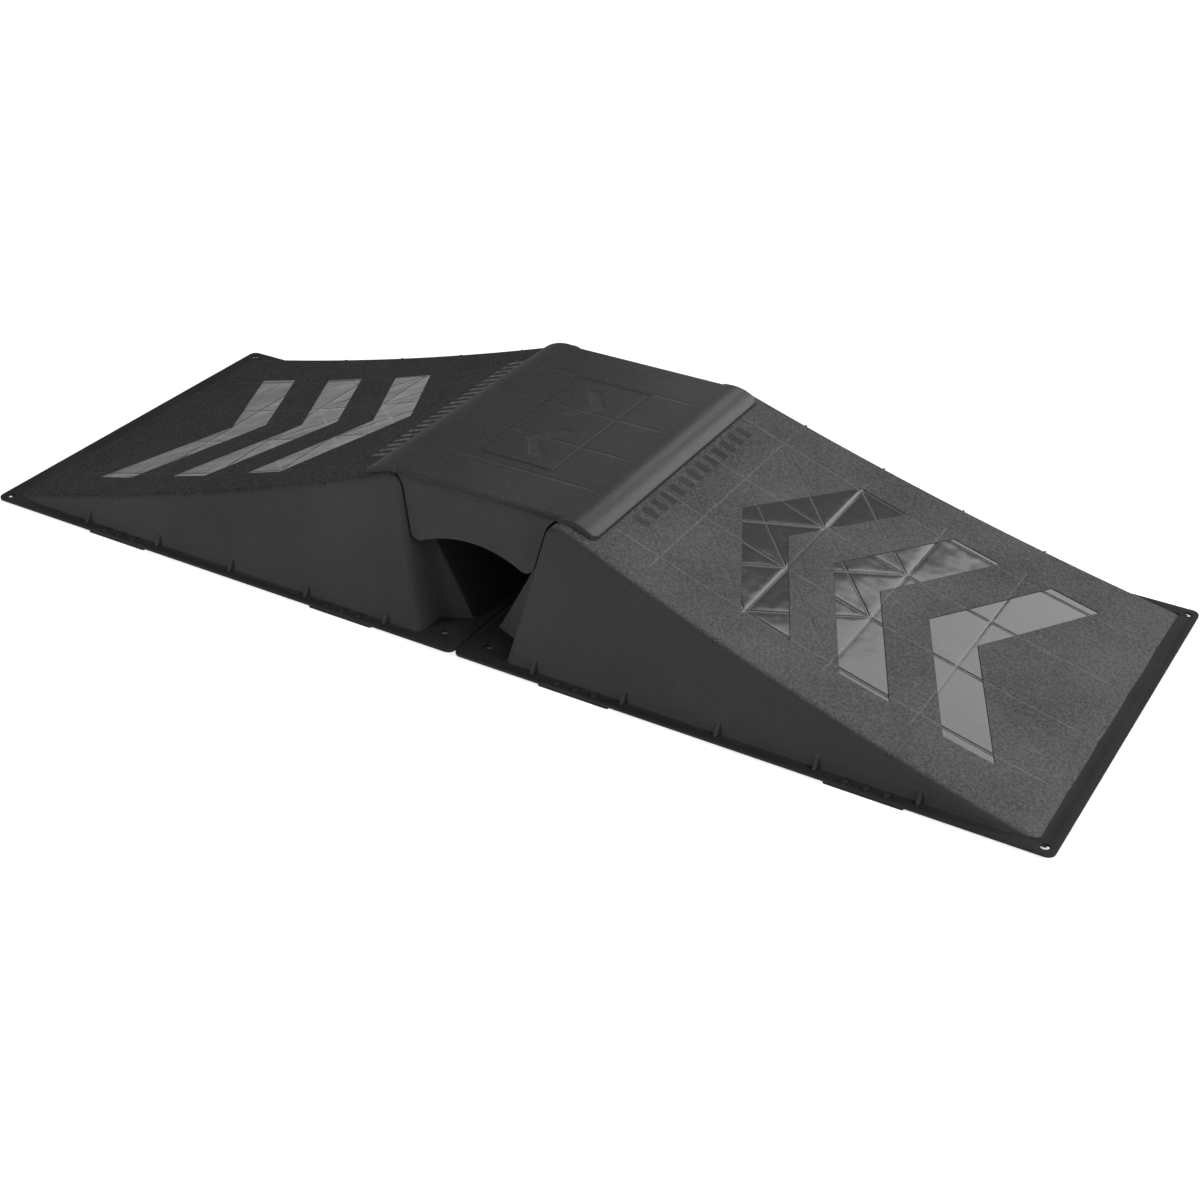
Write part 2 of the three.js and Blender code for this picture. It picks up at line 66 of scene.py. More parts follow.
# The shells of both ramps: each is one moulding of black plastic about 3 mm thick, open
# underneath. A slightly hollow deck rises from the toe to a rounded ridge, the end wall falls
# steeply from there to the ground, and leaning side walls close the sides.
metre = 1000
toe_x, flange_bottom, flange_top = 797, 3, 7
half_width, wall_foot, side_batter = 300, 283, 0.204
ridge_top, ridge_radius, edge_radius, inner_edge_radius = 203.7, 22, 10, 7
deck_thickness, wall_thickness, foot_fillet = 3.5, 3, 3
rib_pitch, cross_rib_half = 120, 210
buttress_foot, buttress_top = 20.3, 170
buttress_half, buttress_widening, buttress_flare, buttress_inset = 214, 3, 20.3, 3.3
chevron_steps, chevron_halves = np.array([0, 135, 273]), (184, 189, 195)
chevron_width, chevron_slope, chevron_slope_end, chevron_depth = 68, 0.508, 205, 1
bar_depth, sink_depth, sink_width, swell_height = 0.5, 0.12, 4, 0.22

# The grid that a shell is drawn on. Its columns run evenly to the buttress's flank, closer over
# the flank and on to the deck's limit, where the rounded edge starts. Two rows or columns stand
# on each sharp step, and plain ones keep clear of them. The lowest rows follow the fillet and
# end inside the flange. The buttress rises over a few rows of the end wall, with soft corners.
flank_from, flank_to, deck_limit = 200, 212, 230
step_half, step_clearance, bar_end_half = 0.5, 0.9, 1.5
ridge_steps, deck_steps, column_steps = 15, 225, 134
fillet_top, foot_levels = 10, [9, 8.2, 7.6, 7.15, 6.9, 5.4]
inner_hem, outer_hem = flange_bottom + 0.2, flange_top - 1.6
level_limit, flank_margin, buttress_rows, buttress_soft = 0.9, 2, 5, 0.12


def body_half(z):
    """Half the width of a ramp's body at height z: the side walls lean in evenly."""
    return wall_foot - side_batter * (z - flange_top)


def side_line(ridge, curve_radius, foot, **places):
    """A ramp's side line, as a function for each part of it, with the ramp's other places.

    The ridge is a round, the deck the arc of the given radius through the toe that touches it,
    and the end wall the tangent from its foot. The deck gives heights and outward normals.
    """
    centre = np.array([ridge, ridge_top - ridge_radius])
    leg = np.array([foot, flange_top]) - centre
    wall_angle = np.arctan2(leg[1], leg[0]) - np.arccos(ridge_radius / np.hypot(*leg))
    wall_angle = wall_angle % (2 * np.pi)
    arm = centre - (toe_x, flange_top)
    span = np.hypot(*arm)
    base = (curve_radius ** 2 - (curve_radius + ridge_radius) ** 2 + span ** 2) / (2 * span)
    rise = np.sqrt(curve_radius ** 2 - base ** 2)
    middle = np.array([toe_x, flange_top]) + arm / span * base + np.array(
        [arm[1], -arm[0]]) / span * rise
    deck_angle = np.arctan2(*(middle - centre)[::-1]) % (2 * np.pi)

    def deck(x):
        across = (middle[0] - x) / curve_radius
        level = np.sqrt(1 - across ** 2)
        return middle[1] - curve_radius * level, across, level

    def ridge_round(angle):
        return centre[0] + ridge_radius * np.cos(angle), centre[1] + ridge_radius * np.sin(angle)

    def wall(z):
        return foot - (z - flange_top) * np.tan(wall_angle)

    return SimpleNamespace(ridge=ridge, foot=foot, deck=deck, round=ridge_round, wall=wall,
                           deck_angle=deck_angle, wall_angle=wall_angle, **places)


def near_line(place, pitch):
    """Distance from each place to the nearest of the lines a pitch apart."""
    return np.abs(place - pitch * np.round(place / pitch))


def lattice_distance(x, y, first_rib):
    """Distance from the nearest rib under the deck, with y measured from the ribs' centre line.

    Four ribs run lengthwise and four across, one pitch apart. Diagonals cross the cells of the
    three pitches next to the ridge. The ribs across fade out beyond the outer lengthwise ones.
    """
    along_x, along_y = x - first_rib, y - rib_pitch / 2
    braced = (along_x > 0) & (along_x < 3 * rib_pitch) & (np.abs(y) < 1.5 * rib_pitch)
    lengthwise = np.where(np.abs(y) < 2 * rib_pitch, near_line(along_y, rib_pitch), rib_pitch)
    crosswise = np.where(np.abs(along_x - 2.5 * rib_pitch) < 2 * rib_pitch,
                         near_line(along_x, rib_pitch), rib_pitch)
    crosswise = crosswise + np.clip(np.abs(y) - cross_rib_half, 0, None)
    diagonal = np.minimum(near_line(along_x + along_y, rib_pitch),
                          near_line(along_x - along_y, rib_pitch)) / np.sqrt(2)
    return lengthwise, crosswise, np.where(braced, diagonal, rib_pitch)


def sinks(x, y, first_rib):
    """Where a rib joins the deck from below the plastic sinks in a narrow soft groove."""
    return -sink_depth * sum(np.exp(-(distance / sink_width) ** 2)
                             for distance in lattice_distance(x, y, first_rib))


def pillow(x, y, first_rib):
    """Between the ribs the deck swells a little: a product of two arches over each cell."""
    swell = np.abs(np.sin(np.pi * (x - first_rib) / rib_pitch) * np.sin(
        np.pi * (y - rib_pitch / 2) / rib_pitch))
    return swell_height * swell


def skin(line, columns, inner):
    """One skin of a ramp's body: its outer face, or its inner face one thickness in.

    The rows follow the side line from toe to foot, moved in along its normals. In the middle of
    the deck they bend with the chevrons, so that the chevrons' edges lie on rows. The columns
    run across: up one side wall, over its rounded edge, across the deck and down the far side.
    """
    turn, across, drop, height = columns
    u, bend = deck_rows(line)
    sideways = across - line.shift
    reach = np.minimum(np.abs(sideways), chevron_slope_end)
    x = u[:, None] + bend[:, None] * chevron_slope * reach
    z, nx, nz = line.deck(x)
    angle = np.linspace(line.deck_angle, line.wall_angle, ridge_steps)[1:, None]
    angle = angle + np.zeros_like(across)
    round_x, round_z = line.round(angle)
    wall_z = wall_rows(round_z[-1, 0])[:, None] + np.zeros_like(across)
    wall_nx, wall_nz = np.cos(line.wall_angle), np.sin(line.wall_angle)
    x = np.vstack([x, round_x, line.wall(wall_z)])
    z = np.vstack([z, round_z, wall_z])
    nx = np.vstack([nx, np.cos(angle), np.full_like(wall_z, wall_nx)])
    nz = np.vstack([nz, np.sin(angle), np.full_like(wall_z, wall_nz)])

    radius = inner_edge_radius if inner else edge_radius
    side = wall_thickness / np.cos(np.arctan(side_batter)) if inner else 0
    thickness = np.where(nx < 0, wall_thickness, deck_thickness) if inner else 0
    sink = thickness + radius * (1 - np.cos(turn))
    if not inner:
        relief = (sinks(x, sideways, line.first_rib) + pillow(x, sideways, line.first_rib)
                  - chevron_depth * chevron_share(line, u, sideways, len(x))
                  - bar_depth * bar_share(line, x, across))
        flat_deck = (turn == 0) & (nz > level_limit)
        sink = sink - np.where(flat_deck, relief, 0)
    x, z = x - sink * nx, z - sink * nz
    bottom = inner_hem if inner else outer_hem
    z = np.maximum(z, bottom)

    # Side walls: each column falls from the rounded edge to a share of the height or to a level
    crest = np.minimum(z, fillet_top)
    z = np.where(drop > 0, crest + (z - crest) * (1 - drop), z)
    z = np.where(height > 0, np.minimum(z, height if not inner else bottom), z)
    edge = body_half(z) - side - radius * (1 - np.sin(turn))
    if not inner:
        edge = edge + np.where(turn == np.pi / 2, fillet(z), 0)

    # On the end wall the columns spread to the buttress, a wedge that leans back to the wall
    share = np.clip((buttress_top - z) / (buttress_top - flange_top), 0, 1.02)
    front_half = buttress_half + buttress_widening * share - (buttress_inset if inner else 0)
    root_half = front_half + np.maximum(buttress_flare * share, flank_margin)
    on_wall = np.zeros_like(z)
    rows = len(wall_z)
    on_wall[-rows:] = np.clip(np.arange(rows)[:, None] / buttress_rows, 0, 1)
    stops = np.array([0, flank_from, flank_to, deck_limit]) / deck_limit
    out_share = np.abs(across) / deck_limit
    plain = spread(out_share, stops, [0 * z, flank_from + 0 * z, flank_to + 0 * z, edge])
    stepped = spread(out_share, stops, [
        0 * z, front_half - flank_margin, root_half + flank_margin,
        np.maximum(edge, root_half + flank_margin + 1)])
    half = np.where(turn == 0, plain * (1 - on_wall) + stepped * on_wall, edge)
    y = np.sign(across) * half
    wedge = (line.wall(buttress_top) - buttress_foot) * share
    wedge = line.wall(z) - (line.wall(buttress_top) - wedge)
    leg = soft_clip((root_half - half) / (root_half - front_half), buttress_soft)
    push = np.where(on_wall > 0, np.maximum(wedge, 0) * leg, 0)
    if not inner:
        push = push + np.where(on_wall > 0, fillet(z), 0)
    return np.stack([x - push, y, z], axis=-1)


def fillet(z):
    """How far a wall flares at its foot: a quarter round onto the flange."""
    low = np.clip(foot_fillet - (z - flange_top), 0, foot_fillet)
    return foot_fillet - np.sqrt(foot_fillet ** 2 - low ** 2)


def soft_clip(t, soft):
    """t held between 0 and 1, with a parabola in place of each corner."""
    def ramp_up(v):
        v = np.clip(v, -soft, None)
        return np.where(v < soft, (v + soft) ** 2 / (4 * soft), v)
    return ramp_up(t) - ramp_up(t - 1)


def spread(share, stops, values):
    """Straight interpolation between values, each an array as large as the grid."""
    out = np.zeros_like(values[0])
    for a, b, low, high in zip(stops, stops[1:], values, values[1:]):
        part = np.clip((share - a) / (b - a), 0, 1)
        out = out + (high - low) * part
    return out + values[0]


def both_sides(steps, half=step_half):
    """Two places for each sharp step, close to it on both sides."""
    return [step + side * half for step in steps for side in (-1, 1)]


def clear_of(steps, places):
    """The places that don't crowd any of the steps."""
    return places[np.min(np.abs(places[:, None] - steps), axis=1) > step_clearance]


def chevron_starts(line):
    """Where the tips of a ramp's three chevrons lie, from the middle plane."""
    return line.first_chevron + chevron_steps


def deck_rows(line):
    """Places of the rows on the deck, toe first, and how much each bends with the chevrons."""
    start, end = line.ridge + ridge_radius * np.cos(line.deck_angle), toe_x + 9
    edges = both_sides([tip + offset for tip in chevron_starts(line)
                        for offset in (0, chevron_width)])
    plain = clear_of(edges, np.linspace(start, end, deck_steps))
    u = np.sort(np.concatenate([plain, edges]))[::-1]
    last = chevron_starts(line)[-1] + chevron_width
    return u, np.interp(u, [start, line.first_chevron - 6, last + 7, end], [0, 1, 1, 0])


def wall_rows(start):
    """Heights of the rows on the end wall, from the ridge's round to inside the flange."""
    return np.concatenate([np.linspace(start, fillet_top, 30)[1:], foot_levels])


def chevron_share(line, u, y, rows):
    """1 on the floor of a chevron and 0 outside it, for each row and column."""
    floor = np.zeros((rows, len(y)))
    for start_x, half in zip(chevron_starts(line), chevron_halves):
        on_row = (u > start_x) & (u < start_x + chevron_width)
        floor[:len(u)] += on_row[:, None] * (np.abs(y) < half)
    return floor


def bar_share(line, x, y):
    """1 on the floor of an anti-slip bar near the ridge and 0 between the bars."""
    start, length, middle, half, pitch = line.bars
    off_middle = np.abs(x - start - length / 2)
    along = np.clip((length / 2 + bar_end_half - off_middle) / (2 * bar_end_half), 0, 1)
    across = np.clip(pitch / 4 + step_half - near_line(y - middle, pitch), 0, 1)
    return along * across * (np.abs(y - middle) < half)


def outer_columns(line):
    """Columns of the outer face: turn of the rounded edge, place across, and fall of the walls."""
    _, _, middle, half, pitch = line.bars
    count = int(half // pitch)
    ends = both_sides([line.shift + side * half for half in chevron_halves for side in (-1, 1)]
                      + [middle + k * pitch + side * pitch / 4 for k in range(-count, count + 1)
                         for side in (-1, 1)])
    even = np.linspace(-flank_from, flank_from, column_steps)
    plain = clear_of(ends, np.concatenate([even, [line.shift]]))
    edge = np.concatenate([np.linspace(flank_from, flank_to, 9)[1:],
                           np.linspace(flank_to, deck_limit, 7)[1:]])
    deck = np.unique(np.concatenate([-edge, plain, ends, edge]))
    return side_columns(deck, 6, np.linspace(0, 1, 9)[1:], foot_levels)


def inner_columns():
    """Columns of the inner face, far fewer and with the buttress's flanks among them."""
    even = np.linspace(-flank_from, flank_from, 19)
    edge = np.array([(flank_from + flank_to) / 2, flank_to, deck_limit])
    deck = np.unique(np.concatenate([even, -edge, edge]))
    return side_columns(deck, 4, np.linspace(0, 1, 4)[1:], foot_levels[-1:])


def side_columns(deck, turns, drops, levels):
    """The deck's columns with a rounded edge and a wall added on each side, as four rows:
    turn, place across, share of the fall to the fillet, and level below it."""
    turn = np.linspace(0, np.pi / 2, turns)[1:]
    wall = len(drops) + len(levels)
    one = np.array([
        np.concatenate([turn, np.full(wall, np.pi / 2)]),
        np.full(len(turn) + wall, deck[-1]),
        np.concatenate([np.zeros(len(turn)), drops, np.ones(len(levels))]),
        np.concatenate([np.zeros(len(turn) + len(drops)), levels])])
    flat = np.array([np.zeros(len(deck)), deck, np.zeros(len(deck)), np.zeros(len(deck))])
    other = one[:, ::-1] * np.array([[1], [-1], [1], [1]])
    return np.concatenate([other, flat, one], axis=1)


def grid_faces(rows, columns, first=0, ring=False):
    """Four-cornered faces between the neighbours of a grid, closed round on itself for a ring."""
    index = first + np.arange(rows * columns).reshape(rows, columns)
    if ring:
        index = np.concatenate([index, index[:, :1]], axis=1)
    return np.stack([index[:-1, :-1], index[:-1, 1:], index[1:, 1:], index[1:, :-1]],
                    axis=-1).reshape(-1, 4)


def closed_rings(points, first=0):
    """Faces of a solid drawn by rings of points, with an end on the first ring and the last."""
    rows, columns = points.shape[:2]
    ends = [[first + row * columns + i for i in range(columns)] for row in (0, rows - 1)]
    return grid_faces(rows, columns, first, ring=True).tolist() + ends


def tube(outer, inner):
    """A closed wall between two grids with the same rows: round from the outer face to the inner
    one at each row, with a cap at both ends, of squares where the grids are alike."""
    points = np.concatenate([outer, inner[:, ::-1]], axis=1)
    if outer.shape != inner.shape:
        return points.reshape(-1, 3), closed_rings(points)
    rows, columns = points.shape[:2]
    faces = grid_faces(rows, columns, ring=True).tolist()
    half = outer.shape[1]
    for row in (0, rows - 1):
        ring = row * columns + np.arange(columns)
        faces += np.stack([ring[:half - 1], ring[1:half], ring[::-1][1:half],
                           ring[::-1][:half - 1]], axis=-1).tolist()
    return points.reshape(-1, 3), faces


def prisms(sections, paths):
    """Closed bars: sections is (bars, corners, 3) at the start of each, and paths moves it."""
    bars, corners = sections.shape[:2]
    points = np.concatenate([sections, sections + paths], axis=1).reshape(-1, 3)
    faces = []
    for bar in range(bars):
        low = [bar * 2 * corners + i for i in range(corners)]
        high = [i + corners for i in low]
        faces += [low, high[::-1]]
        faces += [[low[i], low[i - 1], high[i - 1], high[i]] for i in range(corners)]
    return points, faces


def fresh_piece(name, parts, mirror=False, smooth_angle=0.6, polish=None):
    """A mesh object from closed parts, each of them (points in mm, faces). Doubles are welded,
    faces are turned outwards, and it is smooth but for edges sharper than the angle. Faces where
    the polish of their points is near 1 get the second material."""
    points = np.concatenate([np.asarray(p, float).reshape(-1, 3) for p, _ in parts]) / metre
    if mirror:
        points = points * (-1, 1, 1)
    faces, first = [], 0
    for part_points, part_faces in parts:
        faces += [[first + i for i in face] for face in part_faces]
        first += len(np.asarray(part_points).reshape(-1, 3))
    mesh = bpy.data.meshes.new(name)
    mesh.from_pydata(points.tolist(), [], faces)
    if polish is not None:
        layer = mesh.attributes.new("polish", "FLOAT", "POINT")
        layer.data.foreach_set("value", np.pad(polish, (0, len(points) - len(polish))))
    work = bmesh.new()
    work.from_mesh(mesh)
    bmesh.ops.remove_doubles(work, verts=work.verts, dist=5e-6)
    bmesh.ops.dissolve_degenerate(work, edges=work.edges, dist=5e-6)
    bmesh.ops.recalc_face_normals(work, faces=work.faces)
    work.to_mesh(mesh)
    work.free()
    if polish is not None:
        values, corners = np.zeros(len(mesh.vertices)), np.zeros(len(mesh.loops), int)
        first_corner, count = np.zeros((2, len(mesh.polygons)), int)
        mesh.attributes["polish"].data.foreach_get("value", values)
        mesh.loops.foreach_get("vertex_index", corners)
        mesh.polygons.foreach_get("loop_start", first_corner)
        mesh.polygons.foreach_get("loop_total", count)
        share = np.add.reduceat(values[corners], first_corner) / count
        mesh.polygons.foreach_set("material_index", (share > 0.6).astype(int))
    mesh.shade_smooth()
    mesh.set_sharp_from_angle(angle=smooth_angle)
    piece = bpy.data.objects.new(name, mesh)
    bpy.context.scene.collection.objects.link(piece)
    return piece


# The lattice under each deck: lengthwise, cross and diagonal ribs, 24 mm deep, moulded in one
# with the shell. They stiffen the thin deck and end short of the toe.
rib_depth, rib_half, rib_toe_gap, rib_steps = 24, 1.2, 27, 40
rib_start_height, rib_crest = 150, 190


def ribs(line):
    """The ribs as closed strips along straight paths over the ground. Their tops lie inside the
    deck and their lower edges run evenly below it, on past the ridge to the end wall."""
    low, pitch, first_rib = 1.5 * rib_pitch, rib_pitch, line.first_rib
    start = line.wall(rib_start_height) + 2
    paths = [((start, y), (toe_x - rib_toe_gap, y)) for y in np.arange(-low, low + 1, pitch)]
    paths += [((first_rib + i * pitch, -half_width), (first_rib + i * pitch, half_width))
              for i in (1, 2, 3, 4)]
    for k in (-2, -1, 0, 1, 2):
        a, b = (max(0, k), max(0, -k)), (min(3, 3 + k), min(3, 3 - k))
        for side in (-1, 1):
            paths.append(tuple((first_rib + i * pitch, side * (j * pitch - low))
                               for i, j in (a, b)))
    points, faces = [], []
    for (x0, y0), (x1, y1) in paths:
        share = np.linspace(0, 1, rib_steps)
        x, y = x0 + (x1 - x0) * share, y0 + (y1 - y0) * share + line.shift
        deck_z, nx, nz = line.deck(x)
        under = (deck_thickness / 2) / nz
        roof = deck_z - under
        beyond = np.clip((x - line.ridge) / ridge_radius, -0.98, 1)
        over = ridge_top - ridge_radius * (1 - np.sqrt(1 - beyond ** 2)) - under
        roof = np.where(x < line.ridge + ridge_radius * nx, np.minimum(roof, over), roof)
        roof = np.where(x < line.ridge - 15, np.minimum(roof, rib_crest), roof)
        floor = np.minimum(deck_z - (deck_thickness + rib_depth) / nz, roof)
        floor = np.maximum(floor, flange_bottom)
        roof = np.maximum(roof, floor + 0.3)
        roof_y, floor_y = [np.clip(y, 1 - body_half(z), body_half(z) - 1) for z in (roof, floor)]
        length = np.hypot(x1 - x0, y1 - y0)
        side = np.array([-(y1 - y0), x1 - x0]) / length * rib_half
        ring = [np.stack([x + s * side[0], y + s * side[1], z], axis=-1) for s, y, z in (
            (-1, roof_y, roof), (1, roof_y, roof), (0.75, floor_y, floor), (-0.75, floor_y, floor))]
        strip = np.stack(ring, axis=1)
        faces += closed_rings(strip, sum(len(p) for p in points))
        points.append(strip.reshape(-1, 3))
    return np.concatenate(points), faces


# The flange round each ramp: a flat strip 4 mm thick, open under the body, with empty holes
# for ground pegs, holes for the pads' plugs, and small webs that brace the side walls.
flange_start, flange_end, flange_corner, flange_rounding, opening_inset = 1, 818, 11, 0.6, 1.6
peg_radius, plug_hole_radius = 5.8, 3.3
outer_peg, inner_peg = (803, 285), (35, 263)
sides, plug_pitch = (("near", -1), ("far", 1)), 27
side_pad_ends, side_pad_y = ((184, "ridge"), (584, "toe")), 291.5
inner_pad_x, inner_pad_y = 13.5, 135
pads = [(f"side_{near}_{end}", x, side * side_pad_y, True)
        for x, end in side_pad_ends for near, side in sides]
pads += [(f"inner_{near}", inner_pad_x, side * inner_pad_y, False) for near, side in sides]
gusset_start, gusset_pitch, gusset_count = 117, 133, 5
gusset_reach, gusset_thickness, gusset_height = 8, 4, 14


def rounded_corners(x0, x1, y0, y1, radius, steps):
    """Outline of a rectangle with round corners, four quarter circles joined."""
    turn = np.linspace(0, np.pi / 2, steps)
    corners = []
    for k, (x, y) in enumerate([(x1, y1), (x0, y1), (x0, y0), (x1, y0)]):
        cx = x - radius if x == x1 else x + radius
        cy = y - radius if y == y1 else y + radius
        angle = turn + k * np.pi / 2
        corners.append(np.stack([cx + radius * np.cos(angle),
                                 cy + radius * np.sin(angle)], axis=-1))
    return np.concatenate(corners)


def circle(x, y, radius, steps):
    """Points of a circle."""
    angle = np.linspace(0, 2 * np.pi, steps, endpoint=False)
    return np.stack([x + radius * np.cos(angle), y + radius * np.sin(angle)], axis=-1)


def plug_places(x, y, lengthwise):
    """Middles of the three plugs of a pad, which lies along the ramp or across it."""
    return [(x + step, y) if lengthwise else (x, y + step)
            for step in (-plug_pitch, 0, plug_pitch)]


def cut_plate(outlines, z0, z1, round_over):
    """A flat plate: the first outline is its edge and the others are openings in it. The curve
    is filled, given its thickness and a small rounding, and made a mesh."""
    curve = bpy.data.curves.new("plate", "CURVE")
    curve.dimensions, curve.fill_mode = "2D", "BOTH"
    curve.extrude = ((z1 - z0) / 2 - round_over) / metre
    curve.bevel_depth, curve.offset, curve.bevel_resolution = (
        round_over / metre, -round_over / metre, 1)
    for outline in outlines:
        spline = curve.splines.new("POLY")
        spline.points.add(len(outline) - 1)
        flat = np.concatenate([outline / metre, np.zeros((len(outline), 1)),
                               np.ones((len(outline), 1))], axis=1)
        spline.points.foreach_set("co", flat.ravel())
        spline.use_cyclic_u = True
    holder = bpy.data.objects.new("plate", curve)
    mesh = bpy.data.meshes.new_from_object(holder)
    points = np.zeros(len(mesh.vertices) * 3)
    mesh.vertices.foreach_get("co", points)
    faces = [list(face.vertices) for face in mesh.polygons]
    bpy.data.objects.remove(holder)
    points = points.reshape(-1, 3) * metre + (0, 0, (z0 + z1) / 2)
    return points, faces


def flange(line):
    """The flange as a plate with its opening under the body and buttress and all its holes."""
    inside, outside = wall_foot - 1.7, line.foot + 1.7
    front_half = buttress_half + buttress_widening - opening_inset
    near = np.array([(buttress_foot + 1.5, -front_half), (outside, -front_half - buttress_flare),
                     (outside, -inside), (toe_x - 2, -inside)])
    opening = np.concatenate([near, near[::-1] * (1, -1)])
    holes = [circle(x, side * y, peg_radius, 32) for x, y in (outer_peg, inner_peg)
             for side in (-1, 1)]
    holes += [circle(x, y, plug_hole_radius, 16) for _, *pad in pads for x, y in plug_places(*pad)]
    edge = rounded_corners(flange_start, flange_end, -half_width, half_width, flange_corner, 12)
    return cut_plate([edge, opening, *holes], flange_bottom, flange_top, flange_rounding)


def gussets():
    """Ten small webs: a five-cornered section against the side wall, drawn out along the ramp."""
    crest, reach = flange_top + gusset_height, wall_foot + gusset_reach
    wall = body_half(crest)
    section = np.array([(wall - 1.5, flange_top - 2), (reach, flange_top - 2),
                        (reach, flange_top + 0.6), (wall + 1.2, crest), (wall - 1.5, crest)])
    places = gusset_start + gusset_pitch * np.arange(gusset_count) - gusset_thickness / 2
    sections = np.array([[(place, side * y, z) for y, z in section]
                         for place in places for side in (-1, 1)])
    return prisms(sections, np.array([gusset_thickness, 0, 0]))


def ramp_parts(line):
    """Everything that is moulded in one for a ramp, and which of its points are polished."""
    columns = outer_columns(line)
    outer_skin, inner_skin = skin(line, columns, False), skin(line, inner_columns(), True)
    u, _ = deck_rows(line)
    share = chevron_share(line, u, columns[1] - line.shift, len(outer_skin)) * (columns[0] == 0)
    polish = np.concatenate([share, np.zeros(inner_skin.shape[:2])], axis=1).ravel()
    return [tube(outer_skin, inner_skin), ribs(line), flange(line), gussets()], polish


# Black moulded plastic with a fine spark grain, as both ramps and the bridge have. The floors
# of the chevrons are smooth, so they shine, and rib lines show in them as sharp creases, which are
# also painted paler along them as painted highlights.
deck_crease, bridge_crease, mark_edge = 3.4 / metre, 4 / metre, 1 / metre
diagonal_crease, crease_reach, crease_fade = 1.4 * deck_crease, 0.212, 0.02
cloud_scale, speck_scale, rub_scale, wave_scale, wear_scale, grain_scale = 7, 270, 30, 16, 90, 900
wave_height, grain_height, steep_deck, level_deck = 1.2 / metre, 0.3 / metre, 0.72, 0.93


def add_node(kind, links, tree=None, **settings):
    """A shader node with its settings made and its inputs linked or set. It joins the tree that
    its links come from, or the given one."""
    sockets = [value for value in links.values() if isinstance(value, bpy.types.NodeSocket)]
    tree = tree or sockets[0].id_data
    node = tree.nodes.new(kind)
    for name, value in settings.items():
        setattr(node, name, value)
    for socket, value in links.items():
        if value in sockets:
            tree.links.new(value, node.inputs[socket])
        else:
            node.inputs[socket].default_value = value
    return node


def maths(operation, *values):
    """The result of one Math node."""
    return add_node("ShaderNodeMath", dict(enumerate(values)), operation=operation).outputs[0]


def axes(place):
    """The three coordinates of a place, or the three parts of a direction."""
    return add_node("ShaderNodeSeparateXYZ", {0: place}).outputs[:3]


def noise(place, scale, detail, roughness=0.5):
    """A cloudy pattern with values round 0.5."""
    return add_node("ShaderNodeTexNoise", {
        "Vector": place, "Scale": scale, "Detail": detail, "Roughness": roughness}).outputs[0]


def remap(value, low, high, at_low=0, at_high=1, kind="LINEAR"):
    """A value carried from one range to another and held at its ends."""
    return add_node("ShaderNodeMapRange", {
        0: value, 1: low, 2: high, 3: at_low, 4: at_high}, interpolation_type=kind).outputs[0]


def bump(height, links, invert=False):
    """The normals of a relief, with its distance and what lies below it among the links."""
    return add_node("ShaderNodeBump", {"Height": height, **links}, invert=invert).outputs[0]


def crease(place, pitch, width):
    """1 on lines a pitch apart, falling smoothly to 0 a width away."""
    return remap(maths("PINGPONG", place, pitch / 2), 0, width, 1, 0, "SMOOTHSTEP")


def within(value, low, high):
    """1 between two values, else 0."""
    return maths("COMPARE", value, (low + high) / 2, (high - low) / 2)


def band(value, low, high, soft):
    """1 between two values, falling smoothly to 0 at both ends."""
    off = maths("ABSOLUTE", maths("SUBTRACT", value, (low + high) / 2))
    half = (high - low) / 2
    return remap(off, half - soft, half + soft, 1, 0, "SMOOTHSTEP")


def deck_ribs(side, line):
    """The ribs under a ramp's deck. It gives two masks that are 1 over them and fall off to both
    sides: one of the straight ribs alone, and one of all, with the diagonals."""
    def masks(place):
        x, y, _ = axes(place)
        pitch = rib_pitch / metre
        along = maths("MULTIPLY_ADD", x, side, -line.first_rib / metre)
        off_centre = maths("SUBTRACT", y, line.shift / metre)
        between = maths("SUBTRACT", off_centre, pitch / 2)
        lengthwise = maths("MULTIPLY", crease(between, pitch, deck_crease),
                           within(off_centre, -2 * pitch, 2 * pitch))
        rib_end = (toe_x - rib_toe_gap - line.first_rib) / metre
        lengthwise = maths("MULTIPLY", lengthwise, maths("LESS_THAN", along, rib_end))
        crosswise = maths("MULTIPLY", crease(along, pitch, deck_crease),
                          within(along, 0.5 * pitch, 4.5 * pitch))
        crosswise = maths("MULTIPLY", crosswise,
                          band(off_centre, -crease_reach, crease_reach, crease_fade))
        rising, falling = [crease(maths(operation, along, between), pitch, diagonal_crease)
                           for operation in ("ADD", "SUBTRACT")]
        braced = maths("MULTIPLY", within(along, 0, 3 * pitch),
                       within(off_centre, -1.5 * pitch, 1.5 * pitch))
        straight = maths("MAXIMUM", lengthwise, crosswise)
        diagonal = maths("MULTIPLY", maths("MAXIMUM", rising, falling), braced)
        return straight, maths("MAXIMUM", straight, diagonal)
    return masks


def grip_bars(side, start, length, middle, half, pitch):
    """A row of short anti-slip bars across a deck. It gives a mask: 1 on each bar, half a pitch
    wide and as long as given, and 0 between them."""
    def mask(place):
        x, y, _ = axes(place)
        outward = maths("MULTIPLY", x, side)
        off = maths("PINGPONG", maths("SUBTRACT", y, middle / metre), pitch / 2 / metre)
        bar = band(off, -pitch / 4 / metre, pitch / 4 / metre, mark_edge)
        row = band(outward, start / metre, (start + length) / metre, mark_edge)
        reach = within(y, (middle - half) / metre, (middle + half) / metre)
        return maths("MULTIPLY", maths("MULTIPLY", bar, row), reach)
    return mask


def greys(share, dark, pale, clamp=False):
    """A colour between two greys."""
    return add_node("ShaderNodeMix", {
        0: share, 6: (dark, dark, dark, 1), 7: (pale, pale, pale, 1)},
                    data_type="RGBA", clamp_factor=clamp).outputs[2]


